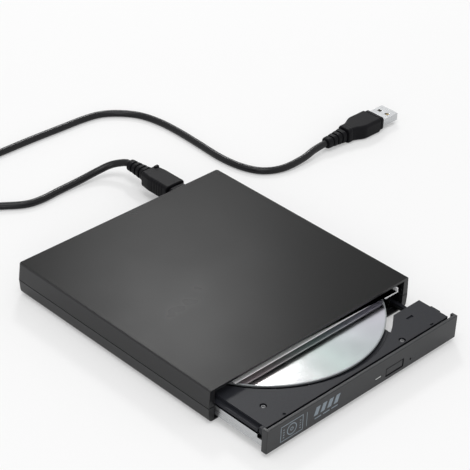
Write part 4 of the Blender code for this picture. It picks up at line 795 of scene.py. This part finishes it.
def case_covers():
    low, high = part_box("top_cover")
    half = max(high.x, -low.x)
    top = case_half("case_top", low, high, half, True, 0.7 * MM)
    cut(top, *case_cavity(low, high, (low.z - 1 * MM, high.z - 1.3 * MM)), *socket_window(high.y))
    dress(softened(top, 0.16 * MM, 2, angle=50), "top_cover")
    # The top face alone gets the darker copy of the black plastic: painted shade.
    top.data.materials.append(SHADED_TOP_LOOK)
    for face in top.data.polygons:
        face.material_index = int(face.normal.z > 0.95 and face.center.z > high.z - 0.2 * MM)
    low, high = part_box("bottom_cover")
    base = case_half("case_base", low, high, half, False, 2.2 * MM)
    cut(base, *case_cavity(low, high, (low.z + 1.0 * MM, high.z + 1 * MM)), *socket_window(high.y))
    recesses = []
    for node in ("foot_front_left", "foot_front_right", "foot_rear_left", "foot_rear_right"):
        at = middle(node)
        recesses.append(rod("recess", (at.x, at.y), 4.3 * MM, (low.z - 1 * MM, low.z + 0.5 * MM)))
    for node in ("case_screw_left", "case_screw_right"):
        at = middle(node)
        recesses.append(rod("counterbore", (at.x, at.y), 1.5 * MM, (low.z - 1 * MM, low.z + 2.2 * MM), 24))
    panel = [(-30, -12), (30, -12), (30, 20), (-30, 20)]
    label = plate("panel", [(x * MM, y * MM) for x, y in panel], (low.z - 1 * MM, low.z + 0.25 * MM))
    cut(base, *recesses, label)
    dress(softened(base, 0.16 * MM, 2, angle=50), "bottom_cover")


def feet():
    """Soft round feet with rounded rims."""
    for node in ("foot_front_left", "foot_front_right", "foot_rear_left", "foot_rear_right"):
        low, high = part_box(node)
        at, radius, tall = (low + high) / 2, (high.x - low.x) / 2, high.z - low.z
        profile = [(0, tall), (radius, tall), (radius, 0.35 * MM)]
        for i in range(1, 5):
            angle = math.pi / 2 * i / 4
            profile.append((radius - 0.35 * MM * (1 - math.cos(angle)), 0.35 * MM * (1 - math.sin(angle))))
        profile += [(radius - 1.2 * MM, 0), (radius - 1.4 * MM, 0.1 * MM), (0, 0.1 * MM)]
        foot = turned(node + "_pad", profile, 48)
        foot.location = (at.x, at.y, low.z)
        dress(softened(foot, 0), node)


# ---- Drive --------------------------------------------------------------------------------------


def drive_body():
    """The lid and chassis with softly broken edges."""
    # The lid gets the lighter, painted-light copy of the steel.
    dress(softened(copy_of("drive_lid", "drive_lid_sheet"), 0.22 * MM, 3), "drive_lid", LID_PAINTED_LIGHT_LOOK)
    dress(softened(copy_of("drive_chassis", "drive_chassis_pan"), 0.1 * MM, 1), "drive_chassis")


def left_rail():
    """The bright channel, with the shallow stops pressed into its web."""
    rail = copy_of("left_rail", "left_rail_channel")
    low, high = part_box("left_rail")
    stops = []
    for share in (0.3, 0.62):
        y = low.y + (high.y - low.y) * share
        z = (low.z + high.z) / 2
        x = (low.x - 1 * MM, low.x + 0.15 * MM)
        stops.append(box("stop", x, (y, y + 5 * MM), (z - 0.7 * MM, z + 0.7 * MM)))
    dress(softened(cut(rail, *stops), 0.12 * MM, 2), "left_rail")
    dress(softened(copy_of("right_rail", "right_rail_channel"), 0.08 * MM, 2), "right_rail")


# ---- Tray ---------------------------------------------------------------------------------------


def tray():
    """The tray, with two grooves moulded round the disc's seat, and its screws."""
    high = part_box("tray")[1]
    spindle = middle("disc")
    body = copy_of("tray", "tray_moulding")
    ring_low, ring_high = 10.6 * MM, high.z + 1 * MM
    rings = []
    for radius in (44 * MM, 61.5 * MM):
        profile = [
            (radius, ring_high),
            (radius + 0.5 * MM, ring_high),
            (radius + 0.5 * MM, ring_low),
            (radius, ring_low),
        ]
        ring = turned("groove", profile, 128, closed=True)
        ring.location = (spindle.x, spindle.y, 0)
        rings.append(ring)
    cut(body, *rings)
    dress(softened(body, 0.2 * MM, 2, angle=32), "tray")
    for node in ("tray_screw_left", "tray_screw_right"):
        tray_screw(node)


def tray_screw(node):
    """A small pan-head screw with a cross in it."""
    low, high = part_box(node)
    at, radius, tall = (low + high) / 2, (high.x - low.x) / 2, high.z - low.z
    profile = [(0, tall), (radius * 0.55, tall)]
    for i in range(1, 6):
        angle = math.pi / 2 * i / 5
        profile.append((radius * (0.55 + 0.45 * math.sin(angle)), tall - 0.35 * MM * (1 - math.cos(angle))))
    profile += [(radius, 0), (0, 0)]
    head = turned(node + "_head", profile, 40)
    crosses = []
    for turn in (0.3, 0.3 + math.pi / 2):
        depth = (tall - 0.45 * MM, tall + 1 * MM)
        arm = box("cross", (-0.75 * MM, 0.75 * MM), (-0.16 * MM, 0.16 * MM), depth)
        arm.rotation_euler.z = turn
        crosses.append(arm)
    cut(head, *crosses)
    head.location = (at.x, at.y, low.z)
    dress(softened(head, 0), node, DULL_SCREW)


def bezel():
    low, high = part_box("bezel")
    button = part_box("eject_button")
    margin = 0.62 * MM
    surround = box(
        "surround",
        (button[0].x - margin + 0.9 * MM, button[1].x + margin - 0.9 * MM),
        (low.y - 1 * MM, low.y + 1.1 * MM),
        (button[0].z - margin + 0.9 * MM, button[1].z + margin - 0.9 * MM),
    )
    panel = cut(copy_of("bezel", "bezel_moulding"), surround)
    dress(softened(panel, 0.12 * MM, 2, angle=50), "bezel", BEZEL_LOOK)
    cap = copy_of("eject_button", "eject_button_cap")
    dress(softened(cap, 0.3 * MM, 3, angle=50), "eject_button", BEZEL_LOOK)
    dress(softened(copy_of("light_pipe", "light_pipe_bar"), 0.08 * MM, 2), "light_pipe", MILKY_LOOK)
    bezel_print(low)


def bezel_print(low):
    """Plain printed marks at the bezel's left: a ring in a frame, a divider and two rows of bars."""
    y = (low.y - 0.02 * MM, low.y + 0.1 * MM)

    def upright(name, outline):
        """A thin print on the front from points given as (x, height) in millimetres."""
        flat = plate(name, [(a * MM, b * MM) for a, b in outline], y)
        for vert in flat.data.vertices:
            vert.co = (vert.co.x, vert.co.z, low.z + vert.co.y)
        flat.data.flip_normals()
        return flat

    def ring(name, x, z, outer, inner):
        bm = bmesh.new()
        steps = 40
        loops = []
        for radius in (outer, inner):
            for depth in y:
                loops.append(
                    [
                        bm.verts.new(
                            (
                                x * MM + radius * MM * math.cos(math.tau * i / steps),
                                depth,
                                low.z + z * MM + radius * MM * math.sin(math.tau * i / steps),
                            )
                        )
                        for i in range(steps)
                    ]
                )
        for a, b in ((0, 1), (1, 3), (3, 2), (2, 0)):
            for i in range(steps):
                j = (i + 1) % steps
                bm.faces.new((loops[a][i], loops[a][j], loops[b][j], loops[b][i]))
        return made(name, bm)

    def rect(x0, z0, x1, z1):
        return [(x0, z0), (x1, z0), (x1, z1), (x0, z1)]

    pieces = [ring("print_ring", -48.5, 6.2, 3.1, 2.6), ring("print_hole", -48.5, 6.2, 1.0, 0.6)]
    frame_bars = [
        rect(-55.6, 1.9, -41.4, 2.3),
        rect(-55.6, 10.1, -41.4, 10.5),
        rect(-55.6, 2.5, -55.2, 9.9),
        rect(-41.8, 2.5, -41.4, 9.9),
        rect(-39.2, 2.2, -38.9, 10.2),
    ]
    for x in (-54.0, -43.6):
        for z in (3.6, 5.0, 6.4, 7.8):
            frame_bars.append(rect(x, z, x + 0.9, z + 0.5))
    for i in range(4):
        x = -34.6 + i * 4.3
        frame_bars.append([(x, 5.2), (x + 2.6, 5.2), (x + 4.2, 9.6), (x + 1.6, 9.6)])
    for i in range(3):
        frame_bars.append(rect(-33.8 + i * 5.4, 3.2, -29.6 + i * 5.4, 3.8))
    for number, outline in enumerate(frame_bars, 1):
        pieces.append(upright(f"print_bar_{number}", outline))
    for piece in pieces:
        extra(piece, "bezel", PRINT_LOOK)


# ---- Disc and turntable -------------------------------------------------------------------------


def disc():
    low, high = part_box("disc")
    at, radius, tall = (low + high) / 2, (high.x - low.x) / 2, high.z - low.z
    hole, edge = 7.5 * MM, 0.18 * MM
    profile = [
        (hole, tall - edge),
        (hole + edge, tall),
        (16.4 * MM, tall),
        (16.7 * MM, tall + 0.12 * MM),
        (17.4 * MM, tall + 0.12 * MM),
        (17.7 * MM, tall),
        (22.0 * MM, tall),
        (58.4 * MM, tall),
        (radius - edge, tall),
        (radius, tall - edge),
        (radius, edge),
        (radius - edge, 0),
        (hole + edge, 0),
        (hole, edge),
    ]
    piece = turned("disc_face", profile, 240, closed=True)
    piece.location = (at.x, at.y, low.z)
    dress(softened(piece, 0, smooth=50), "disc")


def hub():
    """The disc's hub, and the turntable's rotor below it."""
    at = middle("disc")
    piece = copy_of("disc_hub", "disc_hub_moulding")
    dress(softened(piece, 0.12 * MM, 2), "disc_hub")
    table = turned(
        "turntable_rotor",
        [
            (0, 0),
            (11.9 * MM, 0),
            (12.3 * MM, -0.15 * MM),
            (12.3 * MM, -0.4 * MM),
            (11.4 * MM, -0.6 * MM),
            (11.0 * MM, -1.0 * MM),
            (11.0 * MM, -3.9 * MM),
            (9.5 * MM, -3.9 * MM),
            (9.5 * MM, -1.5 * MM),
            (0.8 * MM, -1.5 * MM),
            (0.8 * MM, -5.0 * MM),
            (0, -5.0 * MM),
        ],
        96,
    )
    table.location = (at.x, at.y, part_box("turntable")[1].z)
    dress(softened(table, 0), "turntable")


# ---- Everything else ----------------------------------------------------------------------------


def carried_nodes():
    """The CAD nodes whose shape is right get their slot's look, and small ones get broken edges."""
    edges = {
        "usb_socket": 0.08,
        "traverse_frame": 0.15,
        "pickup": 0.25,
        "lens_holder": 0.2,
        "sled_motor": 0.2,
        "latch_solenoid": 0.2,
        "latch_hook": 0.15,
        "tray_shield": 0.08,
        "traverse_cover": 0.06,
        "bridge_chip": 0.1,
        "controller_chip": 0.1,
        "driver_chip": 0.1,
        "adapter_board": 0.05,
        "drive_board": 0.05,
        "tray_board": 0.05,
        "eject_switch": 0.2,
        "status_lamp": 0.15,
        "spindle_motor": 0.1,
        "case_screw_left": 0.05,
        "case_screw_right": 0.05,
    }
    for node, width in edges.items():
        dress(softened(copy_of(node, node + "_detail"), width * MM, 2), node)
    for node, obj in frame["nodes"].items():
        if not obj.hide_render:
            obj.data.materials.clear()
            obj.data.materials.append(LOOKS[SLOT_OF[node]])


# ---- Studio -------------------------------------------------------------------------------------


def area_light(name, at, target, size, watts, colour=(1, 1, 1)):
    data = bpy.data.lights.new(name, "AREA")
    data.shape = "RECTANGLE"
    data.size, data.size_y = size
    data.energy = watts
    data.color = colour
    lamp = link(bpy.data.objects.new(name, data))
    lamp.location = at
    lamp.rotation_euler = (Vector(target) - Vector(at)).to_track_quat("-Z", "Y").to_euler()


def floor():
    bm = bmesh.new()
    bmesh.ops.create_grid(bm, x_segments=4, y_segments=4, size=3)
    piece = made("floor", bm)
    look = Shader("white_floor", (0.93, 0.93, 0.93), 0.85)
    look.colour(look.mix(look.noise(3, 3), (0.925, 0.925, 0.925), (0.94, 0.94, 0.94)))
    look.face.inputs["Specular IOR Level"].default_value = 0.05
    path = look.add("ShaderNodeLightPath")
    away = look.join(look.place, look.add("ShaderNodeVectorMath", operation="LENGTH"), 0)
    share = look.join(path.outputs["Is Camera Ray"], look.add("ShaderNodeMath", operation="MULTIPLY"), 0)
    look.join(look.spread(away.outputs["Value"], 0.3, 1.0, 0.25, 0.9), share, 1)
    glow = look.add("ShaderNodeEmission")
    blend = look.join(share.outputs[0], look.add("ShaderNodeMixShader"), 0)
    look.join(look.face.outputs[0], blend, 1)
    look.join(glow.outputs[0], blend, 2)
    look.join(blend.outputs[0], look.tree.nodes["Material Output"], "Surface")
    piece.data.materials.append(look.material)


def world():
    """White for what the camera and reflections see, and a plain level for the light it gives."""
    scene_world = bpy.data.worlds.new("studio")
    bpy.context.scene.world = scene_world
    scene_world.use_nodes = True
    tree = scene_world.node_tree
    tree.nodes.clear()
    path = tree.nodes.new("ShaderNodeLightPath")
    seen = None
    for ray in ("Is Camera Ray", "Is Glossy Ray", "Is Transmission Ray"):
        if seen is None:
            seen = path.outputs[ray]
            continue
        either = tree.nodes.new("ShaderNodeMath")
        either.operation = "MAXIMUM"
        tree.links.new(seen, either.inputs[0])
        tree.links.new(path.outputs[ray], either.inputs[1])
        seen = either.outputs[0]
    lit, shown = tree.nodes.new("ShaderNodeBackground"), tree.nodes.new("ShaderNodeBackground")
    lit.inputs["Strength"].default_value = 0.55
    shown.inputs["Strength"].default_value = 1.0
    for node in (lit, shown):
        node.inputs["Color"].default_value = (1, 1, 1, 1)
    mix = tree.nodes.new("ShaderNodeMixShader")
    out = tree.nodes.new("ShaderNodeOutputWorld")
    tree.links.new(seen, mix.inputs[0])
    tree.links.new(lit.outputs[0], mix.inputs[1])
    tree.links.new(shown.outputs[0], mix.inputs[2])
    tree.links.new(mix.outputs[0], out.inputs["Surface"])


def studio():
    floor()
    world()
    area_light("key", (0.685, 0.77, 0.837), (-0.05, 0, 0), (0.2, 0.2), 2.9)
    area_light("over", (-0.2, -0.1, 1.5), (0, 0, 0), (0.9, 0.9), 8)
    area_light("front", (-0.9, -0.8, 0.45), (0, 0, 0), (0.5, 0.5), 2.5)
    bpy.context.scene.view_settings.view_transform = "Standard"


lead_and_plugs()
case_covers()
feet()
drive_body()
left_rail()
tray()
bezel()
disc()
hub()
carried_nodes()
studio()
